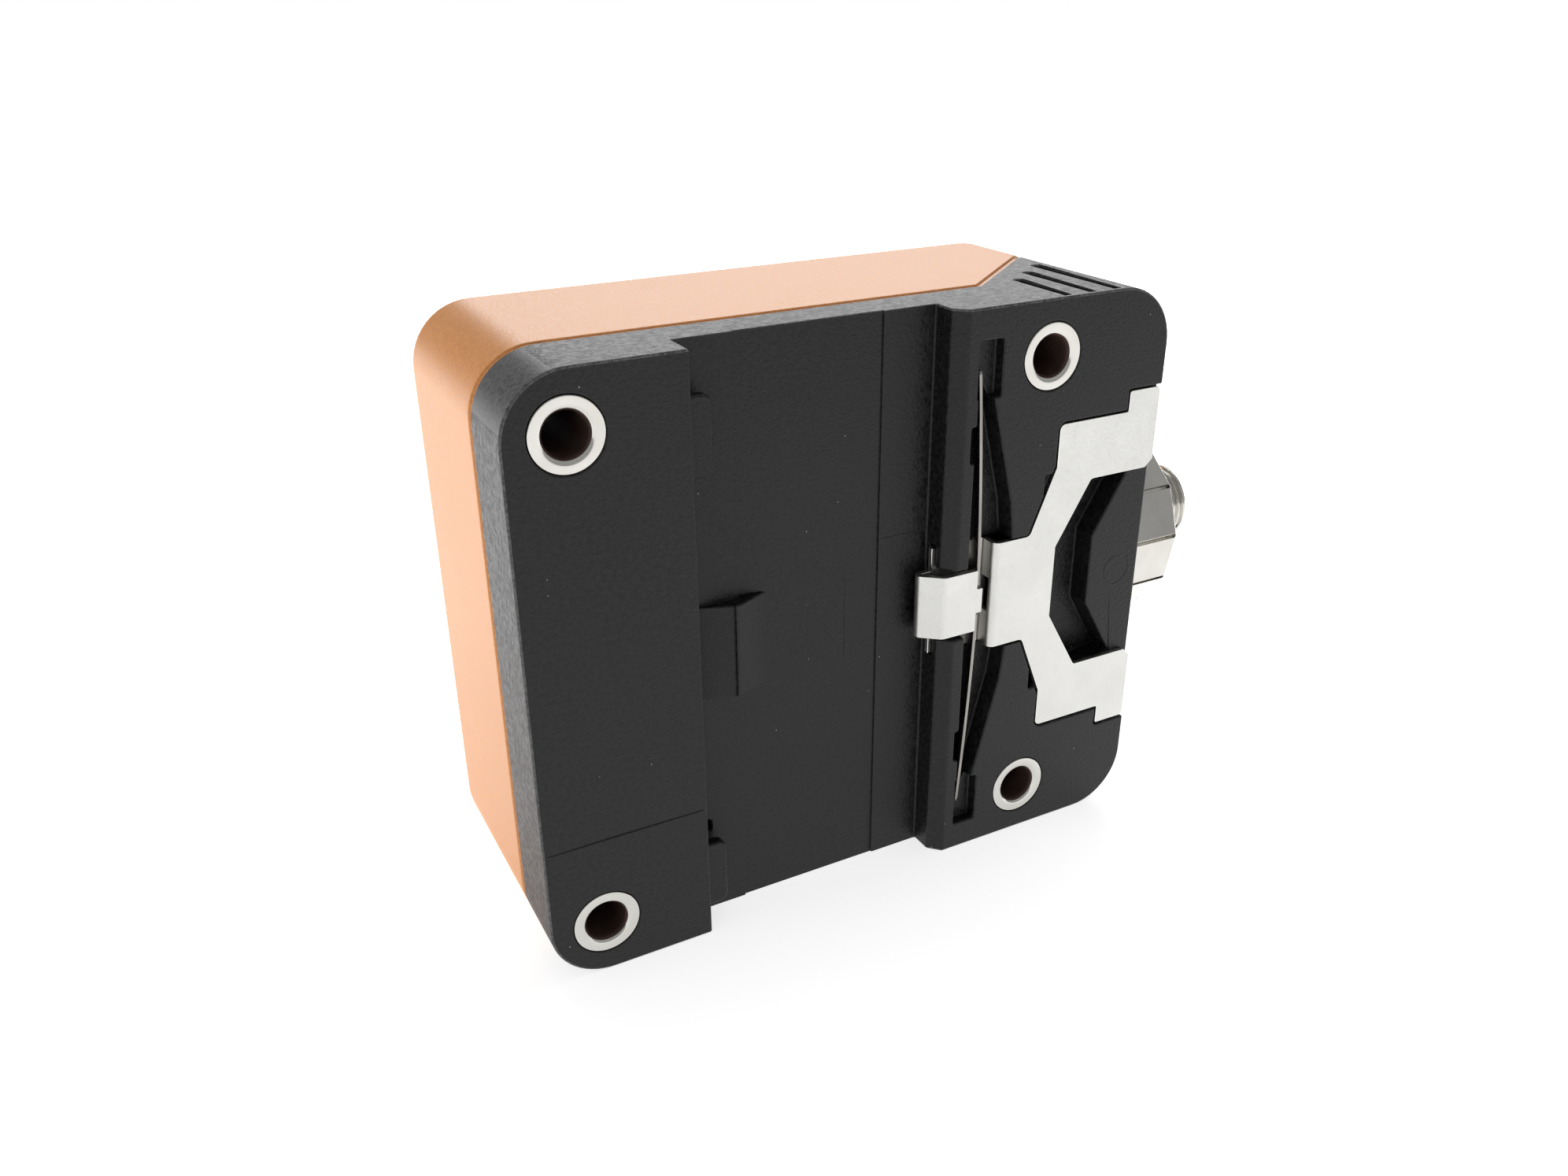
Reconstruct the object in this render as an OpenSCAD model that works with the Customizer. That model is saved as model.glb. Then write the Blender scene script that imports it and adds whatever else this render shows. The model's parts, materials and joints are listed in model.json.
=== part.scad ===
// Block-shaped proximity sensor that screws down through four sleeves or snaps onto a 35 mm rail.
// It stands on its long side: X runs towards the connector, Y from the mounting face to the
// sensing face, Z up along the rail. The origin is the centre of the four-hole pattern, on the
// mounting face.

/* [Housing] */
// Length of the housing, without its connector
body_l = 92; // [90:1:112]
// Height of the housing, along the rail
body_h = 80; // [76:1:100]
// Depth from the mounting face to the sensing face
body_d = 40; // [39:1:50]
// Radius of the four corners
corner_r = 8.2; // [5:0.1:10]
// Radius round the sensing face
face_r = 3; // [1:0.5:4]
// Thickness of the side walls
wall = 2.5; // [2:0.1:3]
// Thickness of the sensing face
face_t = 3; // [2.5:0.1:4]
// Depth of the seam between base and cover
seam_d = 10.7; // [9.5:0.1:14]
// Slope of the seam towards the connector end, as depth over length
seam_slope = 0.82; // [0.5:0.01:0.9]
// Distance from the hole centre line to the foot of the sloping seam
seam_foot_x = 28.4; // [20:0.1:34]

/* [Fixing holes] */
// Spacing of the fixing holes along the length
hole_pitch_x = 65; // [60:0.5:65]
// Spacing of the fixing holes along the height
hole_pitch_z = 65; // [60:0.5:65]
// Distance from the hole centres to the plain end of the housing
hole_edge = 7.5; // [7:0.1:12]
// Bore of the sleeves
sleeve_bore_r = 2.65; // [2.2:0.05:2.75]
// Wall of the sleeves
sleeve_wall = 0.95; // [0.6:0.05:1.2]
// Radius of the sleeve's flange
flange_r = 4.43; // [4.2:0.01:5]
// Thickness of the sleeve's flange
flange_t = 1; // [0.6:0.1:1.5]

/* [Rail recess] */
// Width of the mounting rail that the recess takes
rail_w = 35; // [32:0.5:36]
// Thickness of the rail's brim
brim_t = 1; // [0.8:0.1:1.2]
// Depth of the recess
recess_d = 4.87; // [4:0.01:6]
// How much deeper the middle of the recess floor lies
floor_step = 0.25; // [0.1:0.05:0.3]
// Thickness of the two fixed lugs
lug_t = 1.6; // [1.2:0.1:2]
// Reach of the lugs over the rail
lug_reach = 3.5; // [2.5:0.1:4]

/* [Rail clamp] */
// Thickness of the clamp's sheet
clamp_t = 0.8; // [0.6:0.01:1]
// Height of the clamp's neck
neck_h = 15.7; // [14:0.1:17]
// Height of the hook
hook_h = 9.1; // [7:0.1:10]
// Height of the clamp across its pull arms
arms_h = 51.8; // [48:0.1:53]
// Height of the tool window between the arms
window_h = 28.7; // [24:0.1:31]
// Travel of the clamp when it is pulled off the rail
clamp_travel = 3.1; // [2.6:0.1:3.2]
// Thickness of the leaf spring
leaf_t = 0.5; // [0.3:0.05:0.5]
// Length of the leaf spring
leaf_l = 64; // [60:0.5:65]
// Bow of the leaf spring at rest
leaf_bow = 1.55; // [1:0.05:1.6]

/* [Connector] */
// Radius of the connector's thread
thread_r = 6; // [6:1:6]
// Length of the connector's thread
thread_l = 10; // [9:0.5:14]
// Radius of the collar over its twelve corners
collar_r = 14.5; // [12:0.1:15]
// Length of the collar
collar_l = 9.5; // [7:0.5:12]
// Depth of the connector's axis
connector_d = 17; // [16.5:0.1:18.5]
// Number of contacts
contact_count = 4; // [3:1:5]

/* [Sensing coil] */
// Radius of the ferrite core
core_r = 31; // [25:0.1:32]
// Thickness of the ferrite core
core_t = 11; // [9:0.5:11]
// Inner radius of the winding groove
groove_in_r = 14; // [12:0.5:15]
// Width of the rim outside the winding groove
core_rim = 4; // [3:0.5:6]

/* [Hidden] */
$fn = 64;
eps = 0.01;
over = 5;

// Colours
black_plastic = [0.15, 0.15, 0.155];
orange_plastic = [0.93, 0.56, 0.24];
bright_metal = [0.80, 0.80, 0.78];
soft_black = [0.07, 0.07, 0.07];

// Edges of the housing
left_x = -hole_pitch_x / 2 - hole_edge;
right_x = left_x + body_l;
top_z = body_h / 2;
face_d = body_d - face_t;
// Depth of the base's inner floor: the recess floor, its step and a moulded skin
skin_t = 2.38;
floor_d = recess_d + floor_step + skin_t;
post_r = sleeve_bore_r + sleeve_wall + 2;
hole_at = [for (x = [-1, 1], z = [-1, 1]) [x * hole_pitch_x / 2, z * hole_pitch_z / 2]];

// Clearances
fit = 0.05;
slide_fit = 0.25;
loose_fit = 0.3;

// Rail recess: the rail's centre line is the hole pattern's
rail_left_x = -rail_w / 2 - 0.5;
rail_right_x = rail_w / 2 + 0.1;
ridge_w = 3.6;
ridge_chamfer = 1.7;
step_left_x = -10.5;
step_right_x = 10;
lug_d = recess_d - brim_t - 0.25 - lug_t;
lug_spans = [[-37.1, -27.4], [24.2, 34]];
lug_round = 1.2;
// Hump that stands inside the rail's left side, and the low pad between it and the recess wall
hump_span = [-6.7, 6.3];
hump_x = rail_left_x + 5.7;
hump_lean = 0.4;
hump_crest_w = 0.8;
hump_l = 5.9;
hump_h = 1.9;
hump_pad_h = 0.2;
// Mark of the mould core beside the lower lug
core_mark = [2.6, 1.8];
core_mark_d = 1.5;

// Rail clamp, from the bend of its hook to its pull arms
clamp_d = 0.1;
hook_bend_x = rail_right_x;
hook_reach = 2.85;
hook_fall = 2.35;
hook_tip_x = hook_bend_x - hook_reach;
brim_gap = 0.07;
strip_end_d = recess_d - brim_t - brim_gap;
strip_d = strip_end_d - clamp_t;
leaf_slot_x = rail_right_x + ridge_w;
hook_end_x = leaf_slot_x + 1.7;
tongue_l = 0.9;
tongue_h = 3.6;
tongue_window_h = 5;
clamp_wall_x = leaf_slot_x + 4.2;
neck_x = clamp_wall_x + 5.75;
shoulder_x = neck_x + 3.75;
shoulder_h = neck_h + 18.5;
arm_round = 0.75;
arm_step_x = shoulder_x + 11.6;
arm_step = 2.9;
clamp_end_x = right_x - 0.2;
window_x = shoulder_x + 0.9;
window_slant = 5.3;
window_nose_h = 10.6;
arm_corner = 1.2;
slot_right_x = clamp_wall_x + clamp_t + clamp_travel + 0.4;
pocket_x = shoulder_x - 1.9;
pocket_lip = 7.2;
pocket_d = 4.4;
pocket_flare = 2;

// Leaf spring and its slot
leaf_d = 0.4;
leaf_w = strip_d - leaf_d - 0.2;
leaf_steps = 24;
leaf_end_x = hook_end_x + 0.1 + leaf_t / 2 - leaf_bow;
leaf_pinch_z = leaf_l / 2 - 1;
leaf_slot_z = leaf_l / 2 + 0.6;
leaf_flare_z = leaf_pinch_z - 2.6;
leaf_pocket_z = leaf_l / 2 + 3.8;
wedge_mid_x = leaf_slot_x + 6.3;
wedge_far_x = leaf_slot_x + 6.9;
wedge_z = 13.3;
leaf_pocket_w = 3.7;
leaf_pocket_d = 1.7;
ridge_notch_w = 0.8;
ridge_notch_h = 4.8;
ridge_notch_z = 22.4;
ridge_notch_d = 1;

// Connector, along X from inside the end wall
conn_flange_t = 2.8;
conn_flange_r = connector_d - floor_d - loose_fit;
conn_neck_r = 7.4;
conn_bore_r = 4.3;
conn_wall_x = right_x - wall;
collar_end_x = right_x + collar_l;
thread_end_x = collar_end_x + thread_l;
thread_chamfer = 0.6;
neck_end_x = collar_end_x - 1.5;
relief_end_x = collar_end_x + 0.2;
relief_r = thread_r - 0.5;
insert_back_x = conn_wall_x - 6;
insert_face_x = thread_end_x - 9;
pin_r = 0.5;
pin_ring_r = 2.83;
pin_front_x = thread_end_x - 1.5;
pin_back_x = insert_back_x - 3;
pin_tip = 0.4;
key_l = 6.5;
key_w = 1.2;
key_t = 0.9;
seal_ring_r = 10.8;
seal_r = 0.8;
groove_t = 0.9;
groove_w = 0.5;

// Circuit board
board_t = 1.6;
board_d = connector_d - board_t / 2;
board_back_d = board_d + board_t;
board_left_x = left_x + wall + 2.5;
board_right_x = insert_back_x - 6;
board_top_z = top_z - wall - 2;
standoff_at = [for (x = [-28, 24], z = [-20, 20]) [x, z]];
standoff_r = 2.2;
guide_z = 22;
guide_d = board_d - 1.7;
guide_r = 1.7;
guide_stop = 1.2;
led_w = 3;

// Sensing coil, stacked from the sensing face towards the board
core_front_d = face_d - 1;
core_back_d = core_front_d - core_t;
core_web_t = 3.4;
groove_out_r = core_r - core_rim;
shield_t = 0.4;
shield_d = core_back_d - shield_t;
carrier_wall = 1.8;
carrier_in_r = core_r + loose_fit;
carrier_floor_t = 1.2;
carrier_floor_d = shield_d - carrier_floor_t;
carrier_leg_r = 2;
carrier_leg_ring = core_r - 1.5;
former_t = 0.9;
coil_lead_r = 0.3;
coil_lead_at = [[-2, groove_in_r + 6], [2, groove_in_r + 6]];
former_gap = 0.2;
winding_drop = 1;

// A face outline, drawn in X and Z, filled between two depths
module slab(d0, d1) {
    translate([0, d1, 0]) rotate([90, 0, 0]) linear_extrude(d1 - d0) children();
}

// A section, drawn in X and depth, filled between two heights
module section(z0, z1) {
    translate([0, 0, z0]) linear_extrude(z1 - z0) children();
}

// A round bar through the depth
module post(at, r, d0, d1) {
    slab(d0, d1) translate(at) circle(r);
}

// A round bar along X, on the connector's axis
module bar(r, x0, x1) {
    translate([x0, connector_d, 0]) rotate([0, 90, 0]) cylinder(h = x1 - x0, r = r);
}

// A round wire between two points
module wire(p, q, r) {
    run = q - p;
    reach = norm(run);
    turn = atan2(run.y, run.x);
    tip = acos(run.z / reach);
    translate(p) rotate([0, tip, turn]) cylinder(h = reach, r = r, $fn = 24);
}

// A rectangle with round corners
module rounded(x0, x1, z0, z1, r) {
    translate([x0 + r, z0]) square([x1 - x0 - 2 * r, z1 - z0]);
    translate([x0, z0 + r]) square([x1 - x0, z1 - z0 - 2 * r]);
    for (x = [x0 + r, x1 - r], z = [z0 + r, z1 - r]) translate([x, z]) circle(r);
}

// The housing's outline, drawn in by an inset
module outline(inset) {
    rounded(left_x + inset, right_x - inset, -top_z + inset, top_z - inset, corner_r - inset);
}

// Everything on the mounting side of the seam, which is raised by a step in depth
module under_seam(rise) {
    seam_end_d = seam_d + (right_x + over - seam_foot_x) * seam_slope;
    section(-top_z - over, top_z + over)
        polygon([[left_x - over, -over], [right_x + over, -over],
                 [right_x + over, seam_end_d + rise], [seam_foot_x, seam_d + rise],
                 [left_x - over, seam_d + rise]]);
}

// The clamp's flat outline, grown by a gap on every side that slides
module clamp_outline(gap) {
    neck = neck_h / 2 + gap;
    shoulder = shoulder_h / 2 + gap;
    arm = arms_h / 2 + gap;
    end_x = gap > 0 ? right_x + over : clamp_end_x;
    upper = [[clamp_wall_x - gap, neck], [neck_x - gap, neck], [shoulder_x - gap, shoulder],
             [shoulder_x - gap, arm - arm_step - arm_round],
             [shoulder_x - gap + arm_round, arm - arm_step],
             [arm_step_x - gap, arm - arm_step], [arm_step_x - gap, arm], [end_x, arm]];
    lower = [for (i = [len(upper) - 1:-1:0]) [upper[i].x, -upper[i].y]];
    polygon(concat(upper, lower));
}

// The tool window, open at the clamp's end and widened there by the arms' corners
module window_outline() {
    half = window_h / 2;
    nose = window_nose_h / 2;
    wide = half + arm_corner;
    polygon([[window_x, nose], [window_x + window_slant, half], [clamp_end_x - arm_corner, half],
             [clamp_end_x, wide], [clamp_end_x + over, wide], [clamp_end_x + over, -wide],
             [clamp_end_x, -wide], [clamp_end_x - arm_corner, -half],
             [window_x + window_slant, -half], [window_x, -nose]]);
}

// The hook's section: flat over the ridge, down the ramp and back under the rail's brim
module hook_section() {
    slope = sqrt(hook_reach * hook_reach + hook_fall * hook_fall);
    flat_under = clamp_d + clamp_t;
    // Where the sheet's inner side meets the flat and the strip
    inner_shift = clamp_t * slope / hook_fall;
    inner_top_x = hook_bend_x + inner_shift - clamp_t * hook_reach / hook_fall;
    inner_low_x = inner_top_x - (strip_d - flat_under) * hook_reach / hook_fall;
    polygon([[hook_end_x, clamp_d], [hook_bend_x, clamp_d], [hook_tip_x, clamp_d + hook_fall],
             [hook_tip_x, strip_end_d - clamp_t / 2], [hook_tip_x + clamp_t / 2, strip_end_d],
             [hook_bend_x + 0.6, strip_end_d], [hook_bend_x + 0.6, strip_d],
             [inner_low_x, strip_d], [inner_top_x, flat_under], [hook_end_x, flat_under]]);
}

// The deep slot for the leaf spring, narrow at its ends and wide where the spring gives way
module leaf_slot_outline() {
    narrow_x = leaf_end_x + leaf_t / 2 + 0.25;
    right = [[narrow_x, leaf_slot_z], [narrow_x, leaf_pinch_z], [narrow_x + 1.5, leaf_flare_z],
             [wedge_mid_x, wedge_z], [wedge_far_x, neck_h / 2 + 0.5]];
    right_low = [for (i = [len(right) - 1:-1:0]) [right[i].x, -right[i].y]];
    polygon(concat([[leaf_slot_x, -leaf_slot_z], [leaf_slot_x, leaf_slot_z]], right, right_low));
}

// Posts that hold the sleeves, left standing in both halves of the housing
module sleeve_posts() {
    for (at = hole_at) post(at, post_r, floor_d - eps, body_d - face_r);
}

module sleeve_holes() {
    sleeve_r = sleeve_bore_r + sleeve_wall + fit;
    for (at = hole_at) {
        post(at, sleeve_r, -over, body_d + over);
        post(at, flange_r + fit, -over, flange_t + fit);
    }
}

// The hollow of the housing
module hollow() {
    slab(floor_d, face_d) outline(wall);
}

module rail_recess() {
    section(-top_z - over, top_z + over) {
        polygon([[rail_left_x, -over], [rail_left_x, recess_d], [rail_right_x, recess_d],
                 [rail_right_x, ridge_chamfer], [rail_right_x + ridge_chamfer, 0],
                 [rail_right_x + ridge_chamfer, -over]]);
        translate([step_left_x, recess_d - eps])
            square([step_right_x - step_left_x, floor_step + eps]);
    }
}

// Two fixed lugs that reach over the rail's brim
module rail_lugs() {
    for (span = lug_spans)
        slab(lug_d, lug_d + lug_t)
            rounded(rail_left_x - lug_round, rail_left_x + lug_reach, span[0], span[1], lug_round);
}

module rail_hump() {
    floor_low_d = recess_d + floor_step + eps;
    section(hump_span[0], hump_span[1])
        polygon([[rail_left_x - eps, floor_low_d], [rail_left_x - eps, recess_d - hump_pad_h],
                 [hump_x, recess_d - hump_pad_h], [hump_x + hump_lean, recess_d - hump_h],
                 [hump_x + hump_lean + hump_crest_w, recess_d - hump_h],
                 [hump_x + hump_l, floor_low_d]]);
}

module clamp_space() {
    neck_gap = neck_h / 2 + slide_fit;
    hook_gap = hook_h / 2 + 0.6;
    // Seat of the flat plate, open at the connector end
    slab(-over, clamp_d + clamp_t + fit) clamp_outline(slide_fit);
    // Pocket under the tool window
    slab(0, pocket_d)
        polygon([[pocket_x, window_h / 2 + pocket_flare],
                 [window_x + window_slant + pocket_lip, window_h / 2],
                 [window_x + pocket_lip, window_nose_h / 2],
                 [window_x + pocket_lip, -window_nose_h / 2],
                 [window_x + window_slant + pocket_lip, -window_h / 2],
                 [pocket_x, -window_h / 2 - pocket_flare]]);
    // Slot and end pockets of the leaf spring
    slab(-over, strip_d) leaf_slot_outline();
    for (side = [-1, 1])
        slab(-over, leaf_pocket_d)
            translate([leaf_slot_x - 0.2, side > 0 ? leaf_flare_z : -leaf_pocket_z])
                square([leaf_pocket_w, leaf_pocket_z - leaf_flare_z]);
    for (side = [-1, 1])
        slab(-over, ridge_notch_d)
            translate([leaf_slot_x - 0.7, side * ridge_notch_z - ridge_notch_h / 2])
                square([ridge_notch_w, ridge_notch_h]);
    // Way for the hook, its strip and its bent wall
    slab(-over, strip_end_d + slide_fit)
        translate([rail_right_x - 1, -hook_gap]) square([ridge_w + 2, 2 * hook_gap]);
    slab(strip_d - slide_fit, strip_end_d + slide_fit)
        translate([rail_right_x - 1, -neck_gap])
            square([slot_right_x - rail_right_x + 1, 2 * neck_gap]);
    slab(-over, strip_end_d + slide_fit)
        translate([leaf_slot_x, -neck_gap]) square([slot_right_x - leaf_slot_x, 2 * neck_gap]);
}

// Grip grooves on the two long sides. They run out towards the mounting face, and end along a
// line beside the sloping seam
module grip_grooves() {
    grip_w = 1.2;
    grip_depth = 0.9;
    grip_pitch = 4;
    first_grip_x = seam_foot_x + 6.6;
    grip_margin = 4.4;
    grip_front_d = 0.5;
    grip_run = 1.6;
    for (i = [0:2], side = [-1, 1]) {
        x = first_grip_x + grip_pitch * i;
        end_d = seam_d + (x - seam_foot_x) * seam_slope - grip_margin;
        translate([x - grip_w / 2, 0, side * top_z]) rotate([90, 0, 90]) linear_extrude(grip_w)
            polygon([[grip_front_d, side * over], [grip_front_d, 0],
                     [grip_front_d + grip_run, -side * grip_depth], [end_d, -side * grip_depth],
                     [end_d, side * over]]);
    }
}

module base() {
    color(black_plastic) {
        difference() {
            intersection() {
                under_seam(0);
                union() {
                    difference() {
                        slab(0, body_d) outline(0);
                        hollow();
                    }
                    sleeve_posts();
                    for (at = standoff_at) post(at, standoff_r, floor_d - eps, board_d);
                }
            }
            rail_recess();
            clamp_space();
            grip_grooves();
            sleeve_holes();
            bar(conn_neck_r + fit, conn_wall_x - over, right_x + over);
            for (side = [-1, 1])
                translate([conn_wall_x - over, guide_d, side * guide_z]) rotate([0, 90, 0])
                    cylinder(h = wall + 2 * over, r = guide_r + fit);
            slab(recess_d - eps, recess_d + core_mark_d)
                translate([rail_left_x, lug_spans[0][1]]) square(core_mark);
        }
        rail_lugs();
        rail_hump();
    }
}

module front_cover() {
    // One corner of the cover, rounded towards the sensing face
    module corner(at) {
        post(at, corner_r, 0, body_d - face_r);
        translate([at.x, body_d - face_r, at.y]) rotate([90, 0, 0])
            rotate_extrude($fn = 48) translate([corner_r - face_r, 0]) circle(face_r, $fn = 32);
    }
    color(orange_plastic) difference() {
        union() {
            difference() {
                hull() for (x = [left_x + corner_r, right_x - corner_r],
                            z = [-top_z + corner_r, top_z - corner_r]) corner([x, z], $fn = 48);
                hollow();
                slab(-over, floor_d + eps) outline(wall);
            }
            sleeve_posts();
        }
        under_seam(0);
        // Seat of the seal, and the recessed line round the seam
        intersection() {
            under_seam(groove_t);
            slab(0, body_d) difference() {
                outline(wall / 2 - groove_w);
                outline(wall / 2 + groove_w);
            }
        }
        intersection() {
            under_seam(groove_t);
            slab(0, body_d) difference() {
                outline(-over);
                outline(0.35);
            }
        }
        sleeve_holes();
    }
}

module cover_seal() {
    seal_w = groove_w - fit;
    color(soft_black) difference() {
        intersection() {
            under_seam(groove_t - fit);
            slab(0, body_d) difference() {
                outline(wall / 2 - seal_w);
                outline(wall / 2 + seal_w);
            }
        }
        under_seam(0);
    }
}

module fixing_sleeves() {
    color(bright_metal) for (at = hole_at) difference() {
        union() {
            post(at, flange_r, 0, flange_t);
            post(at, sleeve_bore_r + sleeve_wall, 0, body_d - 0.1);
        }
        post(at, sleeve_bore_r, -over, body_d + over);
    }
}

module rail_clamp() {
    neck = neck_h / 2;
    hook = hook_h / 2;
    color(bright_metal) {
        slab(clamp_d, clamp_d + clamp_t) difference() {
            clamp_outline(0);
            window_outline();
        }
        // Bent wall, with an opening for the hook's tongue
        difference() {
            slab(clamp_d, strip_end_d) translate([clamp_wall_x, -neck]) square([clamp_t, neck_h]);
            slab(clamp_d + clamp_t + 0.2, strip_d - 0.2)
                translate([clamp_wall_x - 1, -tongue_window_h / 2])
                    square([clamp_t + 2, tongue_window_h]);
        }
        // Strip that passes under the ridge
        slab(strip_d, strip_end_d)
            polygon([[hook_bend_x - 0.3, -neck], [clamp_wall_x + clamp_t, -neck],
                     [clamp_wall_x + clamp_t, neck], [hook_bend_x - 0.3, neck],
                     [hook_bend_x - 0.6, hook], [hook_bend_x - 0.6, -hook]]);
        section(-hook, hook) hook_section();
        slab(clamp_d, clamp_d + clamp_t)
            translate([hook_end_x - eps, -tongue_h / 2]) square([tongue_l, tongue_h]);
    }
}

// The leaf bows from its two held ends to the hook's end, where a notch takes the tongue
module leaf_spring() {
    half = leaf_l / 2;
    function bow(z) = leaf_end_x + leaf_bow * (1 - pow(abs(z) / half, 1.6));
    heights = [for (i = [0:leaf_steps]) -half + leaf_l * i / leaf_steps];
    near_side = [for (z = heights) [bow(z) - leaf_t / 2, z]];
    far_side = [for (i = [leaf_steps:-1:0]) [bow(heights[i]) + leaf_t / 2, heights[i]]];
    color(bright_metal) difference() {
        slab(leaf_d, leaf_d + leaf_w) polygon(concat(near_side, far_side));
        slab(-over, clamp_d + clamp_t + 0.15)
            translate([hook_end_x - 2, -tongue_h / 2 - 0.2]) square([4, tongue_h + 0.4]);
    }
}

module connector_shell() {
    color(bright_metal) difference() {
        union() {
            bar(conn_flange_r, conn_wall_x - conn_flange_t, conn_wall_x);
            bar(conn_neck_r, conn_wall_x - eps, neck_end_x);
            // Relief between the thread and the collar
            bar(relief_r, neck_end_x - 0.5, relief_end_x + eps);
            bar(thread_r, relief_end_x, thread_end_x - thread_chamfer);
            translate([thread_end_x - thread_chamfer, connector_d, 0]) rotate([0, 90, 0])
                cylinder(h = thread_chamfer, r1 = thread_r, r2 = thread_r - thread_chamfer);
        }
        bar(conn_bore_r, conn_wall_x - over, thread_end_x + over);
    }
}

module connector_collar() {
    sides = 12;
    notch_w = 0.55;
    notch_depth = 1;
    notch_stop = 0.7;
    collar_turn = -4;
    color(bright_metal) difference() {
        translate([right_x, connector_d, 0]) rotate([0, 90, 0])
            rotate([0, 0, collar_turn]) cylinder(h = collar_l, r = collar_r, $fn = sides);
        bar(conn_neck_r + fit, right_x - over, neck_end_x + fit);
        bar(thread_r + fit, right_x, collar_end_x + over);
        // Seat of the O-ring against the end wall
        translate([right_x, connector_d, 0]) rotate([0, 90, 0]) rotate_extrude()
            translate([seal_ring_r - seal_r - fit, -over])
                square([2 * seal_r + 2 * fit, over + 2 * seal_r + fit]);
        // One notch along each corner
        for (i = [0:sides - 1])
            translate([right_x, connector_d, 0]) rotate([collar_turn + i * 360 / sides, 0, 0])
                translate([-over, -notch_w / 2, collar_r - notch_depth])
                    cube([over + collar_l - notch_stop, notch_w, over]);
    }
}

module collar_seal() {
    color(soft_black) translate([right_x + seal_r + fit, connector_d, 0]) rotate([0, 90, 0])
        rotate_extrude() translate([seal_ring_r, 0]) circle(seal_r, $fn = 32);
}

function contact_at(i) = [connector_d + pin_ring_r * cos(45 + 360 * i / contact_count),
                          pin_ring_r * sin(45 + 360 * i / contact_count)];

module contact_insert() {
    color(soft_black) difference() {
        union() {
            bar(conn_bore_r - fit, insert_back_x, insert_face_x);
            // Coding key
            translate([insert_face_x - eps, connector_d - conn_bore_r + 2 * fit, -key_w / 2])
                cube([key_l, key_t, key_w]);
        }
        for (i = [0:contact_count - 1]) {
            at = contact_at(i);
            translate([insert_back_x - over, at.x, at.y]) rotate([0, 90, 0])
                cylinder(h = thread_end_x - insert_back_x + 2 * over, r = pin_r + 0.02);
        }
    }
}

module contact_pins() {
    color("gold") for (i = [0:contact_count - 1]) {
        at = contact_at(i);
        translate([pin_back_x, at.x, at.y]) rotate([0, 90, 0])
            cylinder(h = pin_front_x - pin_back_x - pin_tip, r = pin_r);
        translate([pin_front_x - pin_tip, at.x, at.y]) rotate([0, 90, 0])
            cylinder(h = pin_tip, r1 = pin_r, r2 = pin_r / 2);
    }
}

// Leads from the contacts to the nearer side of the board
module contact_leads() {
    lead_r = 0.35;
    color("silver") for (i = [0:contact_count - 1]) {
        at = contact_at(i);
        near = at.x < board_d + board_t / 2;
        land_d = near ? board_d - lead_r - fit : board_back_d + lead_r + fit;
        land = [board_right_x - 1.2, land_d, at.y];
        wire([board_right_x - 4, land_d, at.y], land + [0.3, 0, 0], lead_r);
        wire(land, [pin_back_x, at.x, at.y], 0.9 * lead_r);
    }
}

module circuit_board() {
    color("darkgreen") difference() {
        slab(board_d, board_back_d)
            rounded(board_left_x, board_right_x, -board_top_z, board_top_z, 2);
        for (at = hole_at) post(at, post_r + 0.5, board_d - over, board_back_d + over);
        for (at = coil_lead_at) post(at, coil_lead_r + 0.1, board_d - over, board_back_d + over);
    }
}

// A flat part soldered on the board: centre, size and height, on the mounting side
module chip(at, size, height) {
    slab(board_d - height, board_d)
        translate([at.x - size.x / 2, at.y - size.y / 2]) square([size.x, size.y]);
}

module controller_chip() {
    color("dimgray") chip([-8, 0], [10, 10], 1.5);
}

module output_drivers() {
    color("dimgray") for (z = [-9, 9]) chip([16, z], [6.5, 6], 2.3);
}

module capacitors() {
    color("tan") {
        for (z = [-24, -18, 18, 24]) chip([10, z], [3.2, 2.5], 1.8);
        for (x = [-22, -17, 2]) chip([x, 14], [2, 1.3], 1.2);
    }
}

module resistors() {
    color("black") for (x = [-22:4:-6], z = [-14, -10.5]) chip([x, z], [2, 1.2], 0.6);
}

module status_leds() {
    color("khaki") for (z = [-guide_z, guide_z])
        translate([board_right_x - led_w - 0.4, board_d - led_w, z - led_w / 2]) cube(led_w);
}

module light_guides() {
    color("ivory") for (z = [-guide_z, guide_z]) {
        translate([board_right_x + 0.2, guide_d, z]) rotate([0, 90, 0])
            cylinder(h = right_x - board_right_x, r = guide_r);
        translate([conn_wall_x - guide_stop, guide_d, z]) rotate([0, 90, 0])
            cylinder(h = guide_stop, r = guide_r + 0.8);
    }
}

// Resin poured over the floor of the base
module potting_resin() {
    resin_t = 2;
    resin_gap = 0.1;
    color([0.2, 0.2, 0.22]) difference() {
        slab(floor_d, floor_d + resin_t)
            rounded(left_x + wall + resin_gap, right_x - wall - 4, -top_z + wall + resin_gap,
                    top_z - wall - resin_gap, corner_r - wall);
        for (at = hole_at) post(at, post_r + resin_gap, 0, body_d);
        for (at = standoff_at) post(at, standoff_r + resin_gap, 0, body_d);
    }
}

module coil_carrier() {
    color([0.85, 0.85, 0.8]) {
        slab(carrier_floor_d, core_front_d) difference() {
            circle(carrier_in_r + carrier_wall);
            circle(carrier_in_r);
        }
        slab(carrier_floor_d, shield_d) difference() {
            circle(carrier_in_r + eps);
            circle(groove_out_r);
        }
        for (a = [45:90:315])
            post([carrier_leg_ring * cos(a), carrier_leg_ring * sin(a)], carrier_leg_r,
                 board_back_d, carrier_floor_d + eps);
    }
}

module coil_lead_holes(r) {
    for (at = coil_lead_at) post(at, r, 0, body_d);
}

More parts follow.
